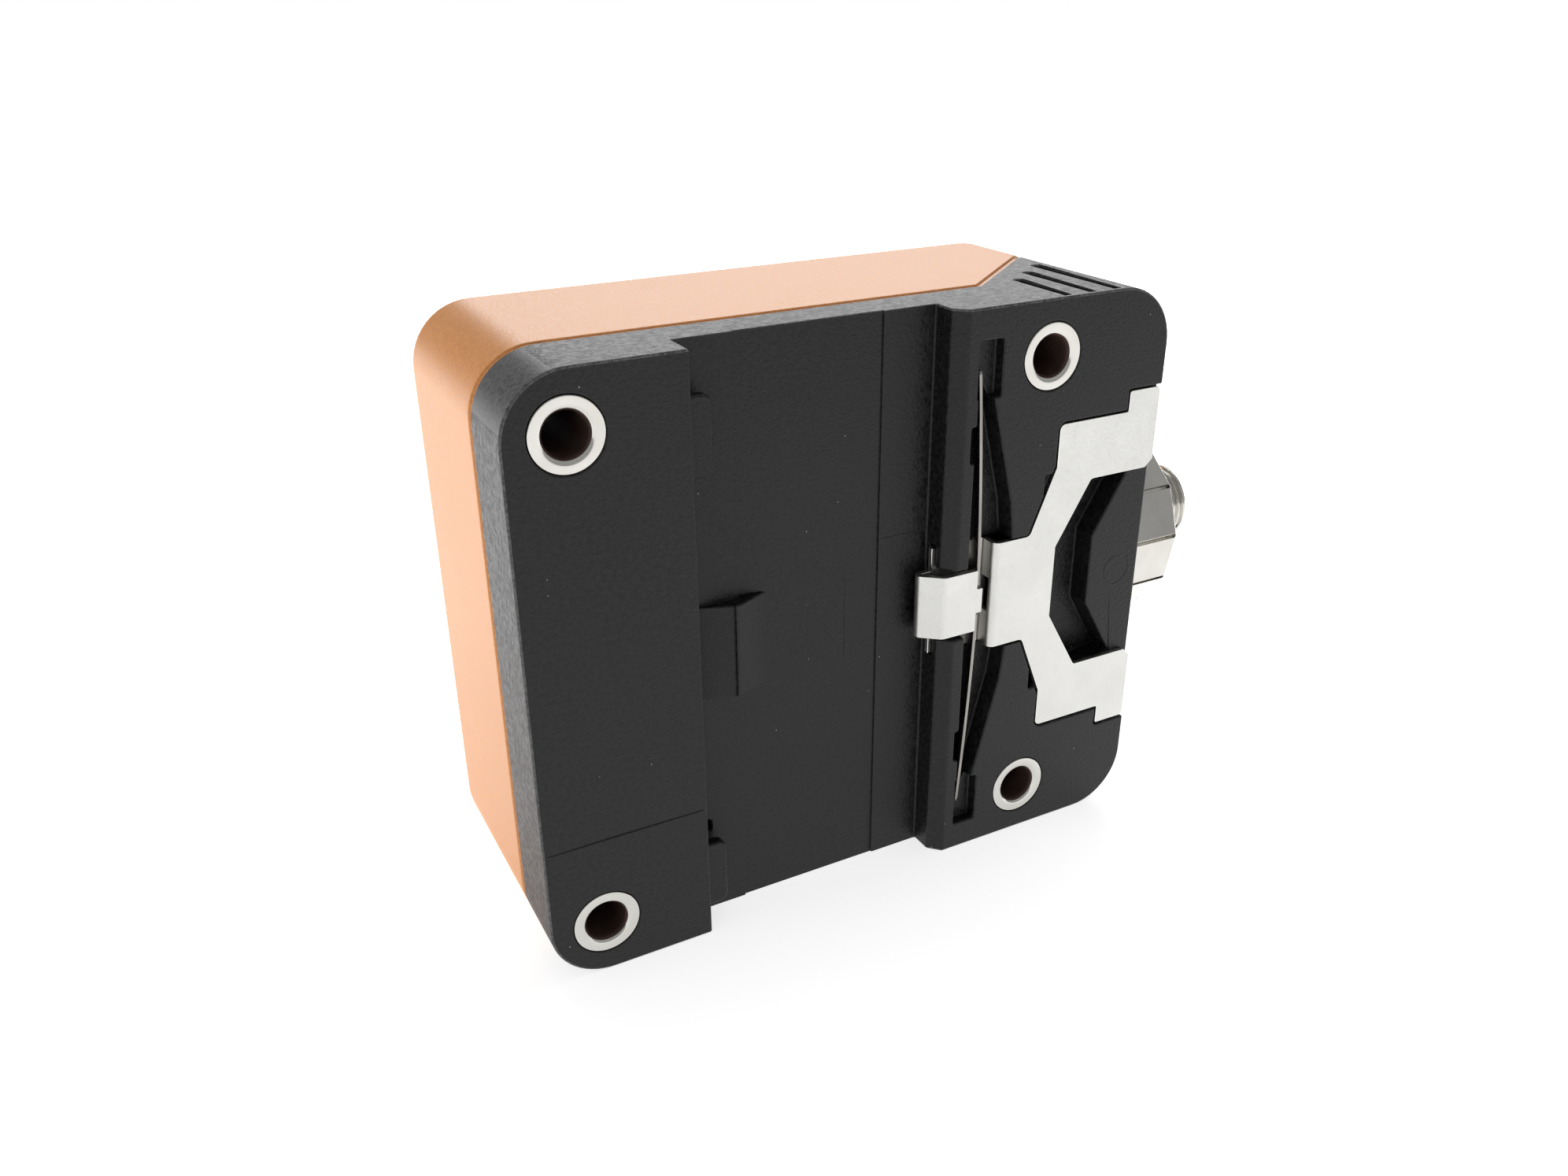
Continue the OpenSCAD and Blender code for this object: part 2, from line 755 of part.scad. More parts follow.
module shield_plate() {
    color("goldenrod") difference() {
        slab(shield_d, core_back_d) circle(core_r);
        coil_lead_holes(1);
    }
}

module ferrite_core() {
    color([0.25, 0.24, 0.24]) difference() {
        slab(core_back_d, core_front_d) circle(core_r);
        slab(core_back_d + core_web_t, body_d) difference() {
            circle(groove_out_r);
            circle(groove_in_r);
        }
        slab(0, body_d) circle(3);
        coil_lead_holes(1);
    }
}

module coil_former() {
    in_r = groove_in_r + loose_fit;
    out_r = groove_out_r - loose_fit;
    back_d = core_back_d + core_web_t;
    front_d = core_front_d - former_gap;
    color("ivory") difference() {
        slab(back_d, front_d) difference() {
            circle(out_r);
            circle(in_r);
        }
        slab(back_d + former_t, front_d - former_t) difference() {
            circle(out_r + over);
            circle(in_r + former_t);
        }
        slab(back_d - over, back_d + former_t + eps)
            for (at = coil_lead_at) translate(at) circle(coil_lead_r + 0.1);
    }
}

module coil_winding() {
    back_d = core_back_d + core_web_t + former_t + fit;
    front_d = core_front_d - former_gap - former_t - fit;
    color([0.72, 0.35, 0.16]) slab(back_d, front_d) difference() {
        circle(groove_out_r - winding_drop);
        circle(groove_in_r + loose_fit + former_t + fit);
    }
}

module coil_leads() {
    end_d = core_back_d + core_web_t + former_t;
    color([0.72, 0.35, 0.16]) for (at = coil_lead_at) post(at, coil_lead_r, board_d - 0.5, end_d);
}

base();
front_cover();
cover_seal();
fixing_sleeves();
rail_clamp();
leaf_spring();
connector_shell();
connector_collar();
collar_seal();
contact_insert();
contact_pins();
contact_leads();
circuit_board();
controller_chip();
output_drivers();
capacitors();
resistors();
status_leds();
light_guides();
potting_resin();
coil_carrier();
shield_plate();
ferrite_core();
coil_former();
coil_winding();
coil_leads();
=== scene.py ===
"""Looks of the block proximity sensor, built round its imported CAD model.

Lengths are in metres. X runs towards the connector, Y from the mounting face to the sensing
face, and Z up along the rail, as in the CAD model.
"""
import json
import math

import bmesh
import bpy
from mathutils import Matrix, Vector


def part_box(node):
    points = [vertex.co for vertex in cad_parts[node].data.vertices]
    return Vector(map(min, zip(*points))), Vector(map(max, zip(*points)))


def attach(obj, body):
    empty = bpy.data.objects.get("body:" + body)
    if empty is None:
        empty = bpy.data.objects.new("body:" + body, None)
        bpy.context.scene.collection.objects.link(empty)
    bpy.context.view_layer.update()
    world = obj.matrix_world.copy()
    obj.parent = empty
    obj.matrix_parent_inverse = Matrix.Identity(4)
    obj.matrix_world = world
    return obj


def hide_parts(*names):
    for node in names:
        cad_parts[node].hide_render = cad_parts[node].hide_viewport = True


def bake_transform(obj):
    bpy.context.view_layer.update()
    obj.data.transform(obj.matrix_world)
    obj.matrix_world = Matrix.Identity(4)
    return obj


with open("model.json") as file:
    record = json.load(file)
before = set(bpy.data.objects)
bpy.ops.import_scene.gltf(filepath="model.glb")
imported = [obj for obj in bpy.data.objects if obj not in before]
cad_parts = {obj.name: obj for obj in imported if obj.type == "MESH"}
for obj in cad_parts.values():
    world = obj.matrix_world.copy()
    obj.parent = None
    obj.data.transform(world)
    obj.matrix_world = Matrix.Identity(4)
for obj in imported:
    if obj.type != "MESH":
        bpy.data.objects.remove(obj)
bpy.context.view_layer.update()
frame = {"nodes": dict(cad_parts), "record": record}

MM = 0.001
AXIS_R = 0.001 * MM  # how near a turned profile comes to its axis
HOUSING = "housing"
CLAMP = "clamp"
SLOTS = {part["node"]: part["material_slot"] for part in frame["record"]["subparts"]}
MOUNTS = {mount["name"]: mount for mount in frame["record"]["mounts"]}

# Places taken from the CAD model
base_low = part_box("base")[0]
cover_low, cover_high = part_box("front_cover")
clamp_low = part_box("rail_clamp")[0]
leaf_low, leaf_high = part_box("leaf_spring")
shell_low, shell_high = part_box("connector_shell")
collar_low, collar_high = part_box("connector_collar")
board_low, board_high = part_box("circuit_board")
pins_low, pins_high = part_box("contact_pins")
hole_pitch = MOUNTS["fixing_holes"]["dims"]["spacing_x_mm"] * MM
sleeve_bore_r = MOUNTS["fixing_holes"]["dims"]["hole_r_mm"] * MM
connector_depth = MOUNTS["connector_thread"]["pos_m"][1]
thread_r = MOUNTS["connector_thread"]["dims"]["r_mm"] * MM
recess_depth = MOUNTS["rail_channel"]["pos_m"][1]
housing_corner_r = 8.2 * MM


# ---------------------------------------------------------------- materials

def add_node(tree, kind, settings=None, **inputs):
    """Adds a shader or geometry node. An input is a constant or another node's socket."""
    made = tree.nodes.new(kind)
    for name, value in (settings or {}).items():
        setattr(made, name, value)
    for name, value in inputs.items():
        numbered = name.startswith("_")
        socket = made.inputs[int(name[1:]) if numbered else name.replace("_", " ")]
        if isinstance(value, bpy.types.NodeSocket):
            tree.links.new(value, socket)
        else:
            socket.default_value = value
    return made


class Finish:
    """A material on object coordinates, wired up one layer at a time."""

    def __init__(self, name, roughness, metallic=0.0, **constants):
        self.material = bpy.data.materials.new(name)
        self.material.use_nodes = True
        self.tree = self.material.node_tree
        self.shader = self.tree.nodes["Principled BSDF"]
        self.shader.inputs["Roughness"].default_value = roughness
        self.shader.inputs["Metallic"].default_value = metallic
        for socket, value in constants.items():
            self.shader.inputs[socket.replace("_", " ")].default_value = value
        self.place = add_node(self.tree, "ShaderNodeTexCoord").outputs["Object"]

    def stretched(self, stretch):
        """Object coordinates stretched along each axis, for brushing and flow lines."""
        return add_node(self.tree, "ShaderNodeMapping", Vector=self.place, Scale=stretch).outputs[0]

    def noise(self, size, detail=3.0, stretch=None, distortion=0.0):
        """Soft noise with features of a size in metres."""
        place = self.stretched(stretch) if stretch else self.place
        return add_node(self.tree, "ShaderNodeTexNoise", Vector=place, Scale=1 / size,
                        Detail=detail, Distortion=distortion).outputs["Fac"]

    def specks(self, size, share):
        """Small round marks: 1 inside a mark and 0 elsewhere."""
        cells = add_node(self.tree, "ShaderNodeTexVoronoi", Vector=self.place, Scale=1 / size)
        return self.ranged(cells.outputs["Distance"], share, share * 0.6, 0, 1)

    def ranged(self, value, low, high, to_low, to_high):
        """A value carried from one range to another, held at the ends."""
        return add_node(self.tree, "ShaderNodeMapRange", Value=value, From_Min=low, From_Max=high,
                        To_Min=to_low, To_Max=to_high).outputs["Result"]

    def product(self, first, second):
        """Two values multiplied."""
        return add_node(self.tree, "ShaderNodeMath", {"operation": "MULTIPLY"},
                        _0=first, _1=second).outputs[0]

    def blended(self, share, first, second):
        """Two colours mixed by a share."""
        return add_node(self.tree, "ShaderNodeMix", {"data_type": "RGBA"},
                        _0=share, _6=colour(first), _7=colour(second)).outputs[2]

    def use(self, socket, value):
        """Drives one of the shader's inputs."""
        self.tree.links.new(value, self.shader.inputs[socket])

    def bump(self, height, depth):
        """Gives the surface relief of a depth in metres."""
        relief = add_node(self.tree, "ShaderNodeBump", Height=height, Distance=depth, Strength=1.0)
        self.use("Normal", relief.outputs["Normal"])


def colour(value):
    """A colour with its alpha, or a socket as it is."""
    return value if isinstance(value, bpy.types.NodeSocket) else (*value, 1.0)


def grained_plastic(name, dark, light, grain, roughness, relief, specular, dust=None):
    """Moulded plastic with a fine mottled grain, and dust caught in it."""
    finish = Finish(name, roughness, Specular_IOR_Level=specular)
    mottle = finish.ranged(finish.noise(grain, detail=5), 0.38, 0.62, 0, 1)
    drift_size = 40 * grain
    drift_share = 0.35
    drift = finish.ranged(finish.noise(drift_size, detail=2), 0.3, 0.7, 0, 1)
    body = finish.blended(mottle, dark, light)
    body = finish.blended(finish.product(drift, drift_share), body, light)
    if dust:
        speck_gap = 3.4 * MM
        speck_share = 0.032
        body = finish.blended(finish.specks(speck_gap, speck_share), body, dust)
    finish.use("Base Color", body)
    finish.use("Roughness", finish.ranged(mottle, 0, 1, roughness - 0.06, roughness + 0.06))
    finish.bump(finish.noise(grain * 0.6, detail=2), relief)
    return finish.material


def worked_metal(name, tint, shade, roughness, brushing, relief):
    """Bright metal with drawing or turning marks along one direction."""
    finish = Finish(name, roughness, metallic=1.0)
    line_gap = 0.35 * MM
    cloud_size = 6 * MM
    lines = finish.noise(line_gap, detail=3, stretch=brushing)
    cloud = finish.ranged(finish.noise(cloud_size, detail=3), 0.3, 0.7, 0, 1)
    finish.use("Base Color", finish.blended(cloud, shade, tint))
    finish.use("Roughness", finish.ranged(lines, 0.3, 0.7, roughness * 0.8, roughness * 1.25))
    finish.bump(lines, relief)
    return finish.material


def cast_stuff(name, dark, light, size, roughness, **constants):
    """A plain moulded or cast stuff with a soft cloudy tint and a slight unevenness."""
    finish = Finish(name, roughness, **constants)
    cloud = finish.ranged(finish.noise(size, detail=4, distortion=0.4), 0.3, 0.7, 0, 1)
    finish.use("Base Color", finish.blended(cloud, dark, light))
    finish.use("Roughness", finish.ranged(cloud, 0, 1, roughness * 0.85, roughness * 1.15))
    ripple = 0.3
    relief = 0.004
    finish.bump(finish.noise(size * ripple, detail=2), size * relief)
    return finish.material


BLACK_PLASTIC = grained_plastic("black_plastic", (0.001, 0.001, 0.001), (0.013, 0.013, 0.0132),
                                0.65 * MM, 0.45, 0.08 * MM, 0.34, dust=(0.30, 0.29, 0.27))
# lighter black on the outline's edges and corners: partly wear, partly a painted highlight
EDGE_WEAR_AND_HIGHLIGHT_BLACK = grained_plastic("edge_wear_and_highlight_black", (0.02, 0.02, 0.021), (0.11, 0.11, 0.108),
                               0.45 * MM, 0.45, 0.03 * MM, 0.5)
ORANGE_PLASTIC = grained_plastic("orange_plastic", (0.72, 0.28, 0.07), (0.84, 0.36, 0.11),
                                 0.5 * MM, 0.44, 0.02 * MM, 0.6, dust=(0.30, 0.16, 0.08))
BRIGHT_NICKEL = worked_metal("bright_nickel", (0.68, 0.67, 0.63), (0.60, 0.58, 0.54), 0.14,
                             (1, 0.05, 1), 0.001 * MM)
# dark brown inside the bores: partly tarnish, partly painted shade of the deep holes
TARNISH_AND_SHADE_BORE = cast_stuff("tarnish_and_painted_shade_bore", (0.045, 0.026, 0.020), (0.07, 0.042, 0.034),
                        2 * MM, 0.5, Specular_IOR_Level=0.3)
SATIN_STEEL = worked_metal("satin_steel", (0.69, 0.685, 0.66), (0.64, 0.635, 0.61), 0.36,
                           (1, 1, 1), 0.003 * MM)
POLISHED_EDGE = worked_metal("polished_steel_edge", (0.88, 0.87, 0.84), (0.80, 0.79, 0.76), 0.12,
                             (1, 1, 1), 0.0005 * MM)
SPRING_STEEL = worked_metal("spring_steel", (0.36, 0.34, 0.32), (0.26, 0.245, 0.23), 0.26,
                            (1, 1, 0.05), 0.001 * MM)
BLACK_RUBBER = grained_plastic("black_rubber", (0.012, 0.012, 0.012), (0.022, 0.022, 0.022),
                               0.5 * MM, 0.75, 0.004 * MM, 0.3)
INSERT_PLASTIC = grained_plastic("insert_plastic", (0.010, 0.010, 0.011), (0.018, 0.018, 0.019),
                                 0.25 * MM, 0.34, 0.003 * MM, 0.5)
GOLD_PLATE = worked_metal("gold_plate", (0.93, 0.70, 0.30), (0.83, 0.58, 0.20), 0.18,
                          (0.1, 1, 1), 0.0005 * MM)
TINNED_COPPER = worked_metal("tinned_copper", (0.72, 0.71, 0.69), (0.58, 0.57, 0.55), 0.28,
                             (0.2, 1, 1), 0.001 * MM)
ROLLED_BRASS = worked_metal("rolled_brass", (0.80, 0.60, 0.28), (0.66, 0.46, 0.18), 0.28,
                            (0.05, 1, 1), 0.001 * MM)
COPPER_ENAMEL = worked_metal("enamelled_copper", (0.62, 0.23, 0.08), (0.42, 0.12, 0.035), 0.22,
                             (1, 1, 1), 0.0005 * MM)
GREEN_RESIST = cast_stuff("green_solder_resist", (0.008, 0.10, 0.035), (0.012, 0.14, 0.05),
                          3 * MM, 0.32)
PRINTED_TRACK = cast_stuff("resist_over_copper", (0.02, 0.20, 0.07), (0.03, 0.25, 0.09),
                           1 * MM, 0.28)
CHIP_BLACK = cast_stuff("moulded_package", (0.018, 0.018, 0.02), (0.03, 0.03, 0.033),
                        0.4 * MM, 0.55)
TAN_CERAMIC = cast_stuff("tan_ceramic", (0.38, 0.25, 0.14), (0.47, 0.33, 0.20), 0.8 * MM, 0.38)
BLACK_FILM = cast_stuff("resistor_film", (0.02, 0.02, 0.024), (0.035, 0.035, 0.04), 0.6 * MM, 0.25)
CLEAR_YELLOW = cast_stuff("led_resin", (0.80, 0.66, 0.20), (0.88, 0.78, 0.36), 1 * MM, 0.15,
                          Coat_Weight=0.5)
LIGHT_GUIDE = cast_stuff("frosted_polycarbonate", (0.78, 0.79, 0.76), (0.86, 0.86, 0.82),
                         1.5 * MM, 0.28, Transmission_Weight=0.5, IOR=1.58)
CAST_RESIN = cast_stuff("dark_cast_resin", (0.010, 0.010, 0.012), (0.022, 0.022, 0.025),
                        9 * MM, 0.14, Coat_Weight=0.4)
NYLON = cast_stuff("natural_nylon", (0.56, 0.55, 0.49), (0.66, 0.65, 0.60), 4 * MM, 0.45,
                   Subsurface_Weight=0.05)
FORMER_PLASTIC = cast_stuff("natural_former", (0.62, 0.58, 0.48), (0.72, 0.69, 0.60),
                            3 * MM, 0.42)
GREY_FERRITE = cast_stuff("sintered_ferrite", (0.035, 0.034, 0.036), (0.075, 0.073, 0.075),
                          0.25 * MM, 0.5)


# ---------------------------------------------------------------- mesh tools

def new_piece(bm, name, *materials):
    """An object at the origin made from a bmesh, with its materials in order."""
    mesh = bpy.data.meshes.new(name)
    bm.normal_update()
    bm.to_mesh(mesh)
    bm.free()
    piece = bpy.data.objects.new(name, mesh)
    bpy.context.scene.collection.objects.link(piece)
    for material in materials:
        mesh.materials.append(material)
    return piece


def made_whole(bm):
    """Joins up loose triangles and makes flat faces whole."""
    bmesh.ops.remove_doubles(bm, verts=bm.verts, dist=0.002 * MM)
    bmesh.ops.dissolve_limit(bm, angle_limit=math.radians(0.5), verts=bm.verts, edges=bm.edges,
                             use_dissolve_boundaries=False)
    bm.normal_update()
    for face in bm.faces:
        face.smooth = True


def merged_copy(node):
    """A CAD node's mesh as one bmesh of whole faces."""
    bm = bmesh.new()
    bm.from_mesh(frame["nodes"][node].data)
    for face in bm.faces:
        face.material_index = 0
    made_whole(bm)
    return bm


def applied(piece):
    """Turns a piece's modifiers into its mesh."""
    graph = bpy.context.evaluated_depsgraph_get()
    mesh = bpy.data.meshes.new_from_object(piece.evaluated_get(graph))
    piece.modifiers.clear()
    piece.data = mesh
    return piece


def shaded(piece, sharp=50.0):
    """Smooth shading that keeps flat faces flat, with the edges that stay sharp marked."""
    bm = bmesh.new()
    bm.from_mesh(piece.data)
    for edge in bm.edges:
        edge.smooth = len(edge.link_faces) == 2 and edge.calc_face_angle(0) < math.radians(sharp)
    for face in bm.faces:
        face.smooth = True
    bm.to_mesh(piece.data)
    bm.free()
    shading = piece.modifiers.new("shading", "WEIGHTED_NORMAL")
    shading.weight = 90
    shading.keep_sharp = True
    return applied(piece)


def rounded_edges(piece, width, segments=2, sharp=30.0, edge_index=0):
    """Rounds a piece's sharp edges by a width, less where the faces beside an edge are narrow."""
    room = 0.4
    same_way = 0.7
    bm = bmesh.new()
    bm.from_mesh(piece.data)
    weights = bm.edges.layers.float.get("bevel_weight_edge")
    weights = weights or bm.edges.layers.float.new("bevel_weight_edge")
    for edge in bm.edges:
        if len(edge.link_faces) != 2 or edge.calc_face_angle(0) < math.radians(sharp):
            continue
        along = (edge.verts[1].co - edge.verts[0].co).normalized()
        clear = width / room
        for vert in edge.verts:
            for other in vert.link_edges:
                across = other.verts[1].co - other.verts[0].co
                if other is edge or across.length == 0:
                    continue
                if abs(across.normalized() @ along) < same_way:
                    clear = min(clear, across.length)
        edge[weights] = min(1.0, room * clear / width)
    bm.to_mesh(piece.data)
    bm.free()
    bevel = piece.modifiers.new("rounding", "BEVEL")
    bevel.limit_method = "WEIGHT"
    bevel.width = width
    bevel.segments = segments
    bevel.use_clamp_overlap = False
    bevel.material = edge_index
    bevel.miter_outer = "MITER_ARC"
    return shaded(applied(piece))


def combined(piece, operation, *others):
    """Joins other pieces to a piece or cuts them out of it, and removes them."""
    for other in others:
        step = piece.modifiers.new("step", "BOOLEAN")
        step.operation = operation
        step.object = other
        step.solver = "EXACT"
    applied(piece)
    for other in others:
        bpy.data.objects.remove(other)
    return piece


def whole_faces(piece):
    """A piece with its flat faces made whole after it was combined with others."""
    bm = bmesh.new()
    bm.from_mesh(piece.data)
    made_whole(bm)
    bm.to_mesh(piece.data)
    bm.free()
    return piece


def finished(piece, body, slot, *nodes):
    """Puts a piece on its body and hides the CAD nodes that it stands for."""
    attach(piece, body)
    if nodes:
        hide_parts(*nodes)
    return piece


def softened_node(node, name, width, *materials, segments=2, edge_index=0, sharp=30.0):
    """A CAD node copied with its edges rounded, in a better material."""
    piece = new_piece(merged_copy(node), name, *materials)
    rounded_edges(piece, width, segments, sharp, edge_index)
    return finished(piece, HOUSING, SLOTS[node], node)


def filleted(points, radii, steps=8, closed=True):
    """An outline with its corners rounded, all by one radius or each by its own."""
    corners = [Vector(point) for point in points]
    rounded = []
    for i, corner in enumerate(corners):
        radius = radii[i] if hasattr(radii, "__len__") else radii
        if radius <= 0 or (not closed and i in (0, len(corners) - 1)):
            rounded.append(corner)
            continue
        before = corners[i - 1] - corner
        after = corners[(i + 1) % len(corners)] - corner
        turn = before.angle(after)
        reach = min(radius / math.tan(turn / 2), before.length * 0.49, after.length * 0.49)
        radius = reach * math.tan(turn / 2)
        inward = (before.normalized() + after.normalized()).normalized()
        middle = corner + inward * radius / math.sin(turn / 2)
        first = corner + before.normalized() * reach - middle
        last = corner + after.normalized() * reach - middle
        swing = first.angle_signed(last)
        for step in range(steps + 1):
            rounded.append(middle + Matrix.Rotation(-swing * step / steps, 2) @ first)
    return rounded


def sheet_outline(path, radii, thickness):
    """The outline of a bent sheet, from its centre line and the radius of each bend."""
    line = filleted(path, radii, closed=False)
    near_side = []
    far_side = []
    for i, point in enumerate(line):
        ahead = line[min(i + 1, len(line) - 1)] - line[max(i - 1, 0)]
        across = Vector((-ahead.y, ahead.x)).normalized() * thickness / 2
        near_side.append(point + across)
        far_side.append(point - across)
    return near_side + far_side[::-1]


def extruded(outline, low, high, plane="XY"):
    """A solid bmesh from an outline in X and depth, or in X and Z, between two planes."""
    bm = bmesh.new()
    rings = []
    for level in (low, high):
        rings.append([bm.verts.new((p[0], p[1], level) if plane == "XY" else (p[0], level, p[1]))
                      for p in outline])
    bm.faces.new(rings[0])
    bm.faces.new(rings[1][::-1])
    for i in range(len(outline)):
        j = (i + 1) % len(outline)
        bm.faces.new((rings[0][i], rings[1][i], rings[1][j], rings[0][j]))
    bmesh.ops.recalc_face_normals(bm, faces=bm.faces)
    for face in bm.faces:
        face.smooth = True
    return bm


def block(low, high):
    """A plain block for cutting, between two corners in mm."""
    outline = [(low[0] * MM, low[1] * MM), (high[0] * MM, low[1] * MM),
               (high[0] * MM, high[1] * MM), (low[0] * MM, high[1] * MM)]
    return new_piece(extruded(outline, low[2] * MM, high[2] * MM), "cutter")


def turned(profile, steps, origin, axis):
    """A turned bmesh: a closed outline of (radius, distance along the axis) spun round."""
    across = Vector((1, 0, 0)) if axis == "Y" else Vector((0, 1, 0))
    along = Vector((0, 1, 0)) if axis == "Y" else Vector((1, 0, 0))
    side = along.cross(across)
    bm = bmesh.new()
    rings = []
    for step in range(steps):
        angle = 2 * math.pi * step / steps
        outward = across * math.cos(angle) + side * math.sin(angle)
        rings.append([bm.verts.new(origin + outward * p[0] + along * p[1]) for p in profile])
    for step, ring in enumerate(rings):
        following = rings[(step + 1) % steps]
        for i in range(len(ring)):
            j = (i + 1) % len(ring)
            bm.faces.new((ring[i], ring[j], following[j], following[i])).smooth = True
    bmesh.ops.recalc_face_normals(bm, faces=bm.faces)
    return bm


def painted(piece, index, inside):
    """Gives the faces whose centre passes a test another of the piece's materials."""
    for face in piece.data.polygons:
        if inside(face.center):
            face.material_index = index
    return piece


# ---------------------------------------------------------------- geometry trees

def geometry_tree(name, **sizes):
    """A geometry tree with named inputs, and the sockets of its inputs by name."""
    kinds = {int: "NodeSocketInt", float: "NodeSocketFloat"}
    tree = bpy.data.node_groups.new(name, "GeometryNodeTree")
    tree.interface.new_socket("Geometry", in_out="INPUT", socket_type="NodeSocketGeometry")
    for size, value in sizes.items():
        kind = kinds.get(type(value), "NodeSocketObject")
        tree.interface.new_socket(size, in_out="INPUT", socket_type=kind)
    tree.interface.new_socket("Geometry", in_out="OUTPUT", socket_type="NodeSocketGeometry")
    return tree, tree.nodes.new("NodeGroupInput").outputs


def grown(points, name, tree, shape, material, sizes, edges=()):
    """The plain mesh that a tree makes on some points, with its inputs set to sizes."""
    smooth = add_node(tree, "GeometryNodeSetShadeSmooth", Geometry=shape).outputs[0]
    real = add_node(tree, "GeometryNodeRealizeInstances", Geometry=smooth).outputs[0]
    coated = add_node(tree, "GeometryNodeSetMaterial", Geometry=real, Material=material).outputs[0]
    add_node(tree, "NodeGroupOutput", Geometry=coated)
    bm = bmesh.new()
    verts = [bm.verts.new(point[:3]) for point in points]
    for first, second in edges:
        bm.edges.new((verts[first], verts[second]))
    piece = new_piece(bm, name)
    if len(points) and len(points[0]) > 3:
        turns = piece.data.attributes.new("turn", "FLOAT", "POINT")
        turns.data.foreach_set("value", [point[3] for point in points])
    maker = piece.modifiers.new("maker", "NODES")
    maker.node_group = tree
    for item in tree.interface.items_tree:
        if item.in_out == "INPUT" and item.name in sizes:
            maker[item.identifier] = sizes[item.name]
    return applied(piece)


def copies(template, name, points, material):
    """A template piece repeated at points, each turned about Y by the point's fourth number."""
    sizes = {"Template": template}
    tree, given = geometry_tree(name + "_copies", **sizes)
    shape = add_node(tree, "GeometryNodeObjectInfo", Object=given["Template"]).outputs["Geometry"]
    turn = add_node(tree, "GeometryNodeInputNamedAttribute", {"data_type": "FLOAT"}, Name="turn")
    spin = add_node(tree, "ShaderNodeCombineXYZ", Y=turn.outputs[0]).outputs[0]
    placed = add_node(tree, "GeometryNodeInstanceOnPoints", Points=given["Geometry"],
                      Instance=shape, Rotation=spin).outputs[0]
    points = [(*point, 0.0)[:4] for point in points]
    piece = grown(points, name, tree, placed, material, sizes)
    bpy.data.objects.remove(template)
    return piece


def wires(name, paths, radius, bend, material, sides=10):
    """Round wires of a radius along paths, with their bends rounded."""
    sizes = {"Radius": radius, "Bend": bend, "Sides": sides}
    tree, given = geometry_tree(name + "_wires", **sizes)
    curve = add_node(tree, "GeometryNodeMeshToCurve", Mesh=given["Geometry"]).outputs[0]
    soft = add_node(tree, "GeometryNodeFilletCurve", {"mode": "POLY"}, Curve=curve, Count=6,
                    Radius=given["Bend"], Limit_Radius=True).outputs[0]
    ring = add_node(tree, "GeometryNodeCurvePrimitiveCircle", Resolution=given["Sides"],
                    Radius=given["Radius"]).outputs[0]
    tube = add_node(tree, "GeometryNodeCurveToMesh", Curve=soft, Profile_Curve=ring,
                    Fill_Caps=True).outputs[0]
    points = [point for path in paths for point in path]
    edges = []
    start = 0
    for path in paths:
        edges += [(start + i, start + i + 1) for i in range(len(path) - 1)]
        start += len(path)
    return grown(points, name, tree, tube, material, sizes, edges)


# ---------------------------------------------------------------- housing

def near_outline(place):
    """Whether a place is on the housing's outer outline, where hands and shelves rub it and where its
    edges and corners get a painted highlight.
    """
    margin = 0.45 * MM
    centre_x = (cover_low.x + cover_high.x) / 2
    reach_x = (cover_high.x - cover_low.x) / 2 - housing_corner_r
    over_x = max(abs(place.x - centre_x) - reach_x, 0)
    over_z = max(abs(place.z) - cover_high.z + housing_corner_r, 0)
    return math.hypot(over_x, over_z) > housing_corner_r - margin


def base_shell():
    """The black base: soft edges, lighter along its outline with wear and a painted highlight, with the
    lines of its mould.
    """
    piece = new_piece(merged_copy("base"), "base_shell", BLACK_PLASTIC, EDGE_WEAR_AND_HIGHLIGHT_BLACK)
    floor = recess_depth / MM
    line_w = 0.09
    line_t = 0.04
    left_line_z = -20
    right_line_z = 10
    floor_line_x = 5
    floor_line_t = 0.25 + line_t
    cutters = [block((-39.4, -1, left_line_z), (-18.5, line_t, left_line_z + line_w)),
               block((10.4, floor - 1, right_line_z), (17.2, floor + line_t, right_line_z + line_w)),
               block((floor_line_x, floor - 1, -6), (floor_line_x + line_w, floor + floor_line_t, 6))]
    pin_inner_r = 2.1 * MM
    pin_outer_r = 2.3 * MM
    pin_top = -0.2 * MM
    pin_mark = Vector((48, 0.95, -1)) * MM
    ring = [(pin_inner_r, pin_top), (pin_outer_r, pin_top), (pin_outer_r, line_t * MM),
            (pin_inner_r, line_t * MM)]
    cutters.append(new_piece(turned(ring, 32, pin_mark, "Y"), "cutter"))
    combined(piece, "DIFFERENCE", *cutters)
    wall_x = -17.3
    crest_x = -11.65
    slope_end = floor + 0.1
    slope = [(wall_x, floor - 0.18), (crest_x, floor - 1.87), (crest_x, slope_end), (wall_x, slope_end)]
    points = [(x * MM, depth * MM) for x, depth in slope]
    combined(piece, "UNION", new_piece(extruded(points, -6.69 * MM, 6.29 * MM), "hump_slope"))
    rounded_edges(piece, 0.3 * MM, 3, 30, edge_index=1)
    # edge and corner faces on the outline get the lighter black: wear and a painted highlight
    slanted = 0.25
    for face in piece.data.polygons:
        corner_face = abs(face.normal.x) > slanted and abs(face.normal.z) > slanted
        wear_or_highlight = face.material_index == 1 or corner_face
        face.material_index = int(wear_or_highlight and near_outline(face.center))
    return finished(piece, HOUSING, SLOTS["base"], "base")


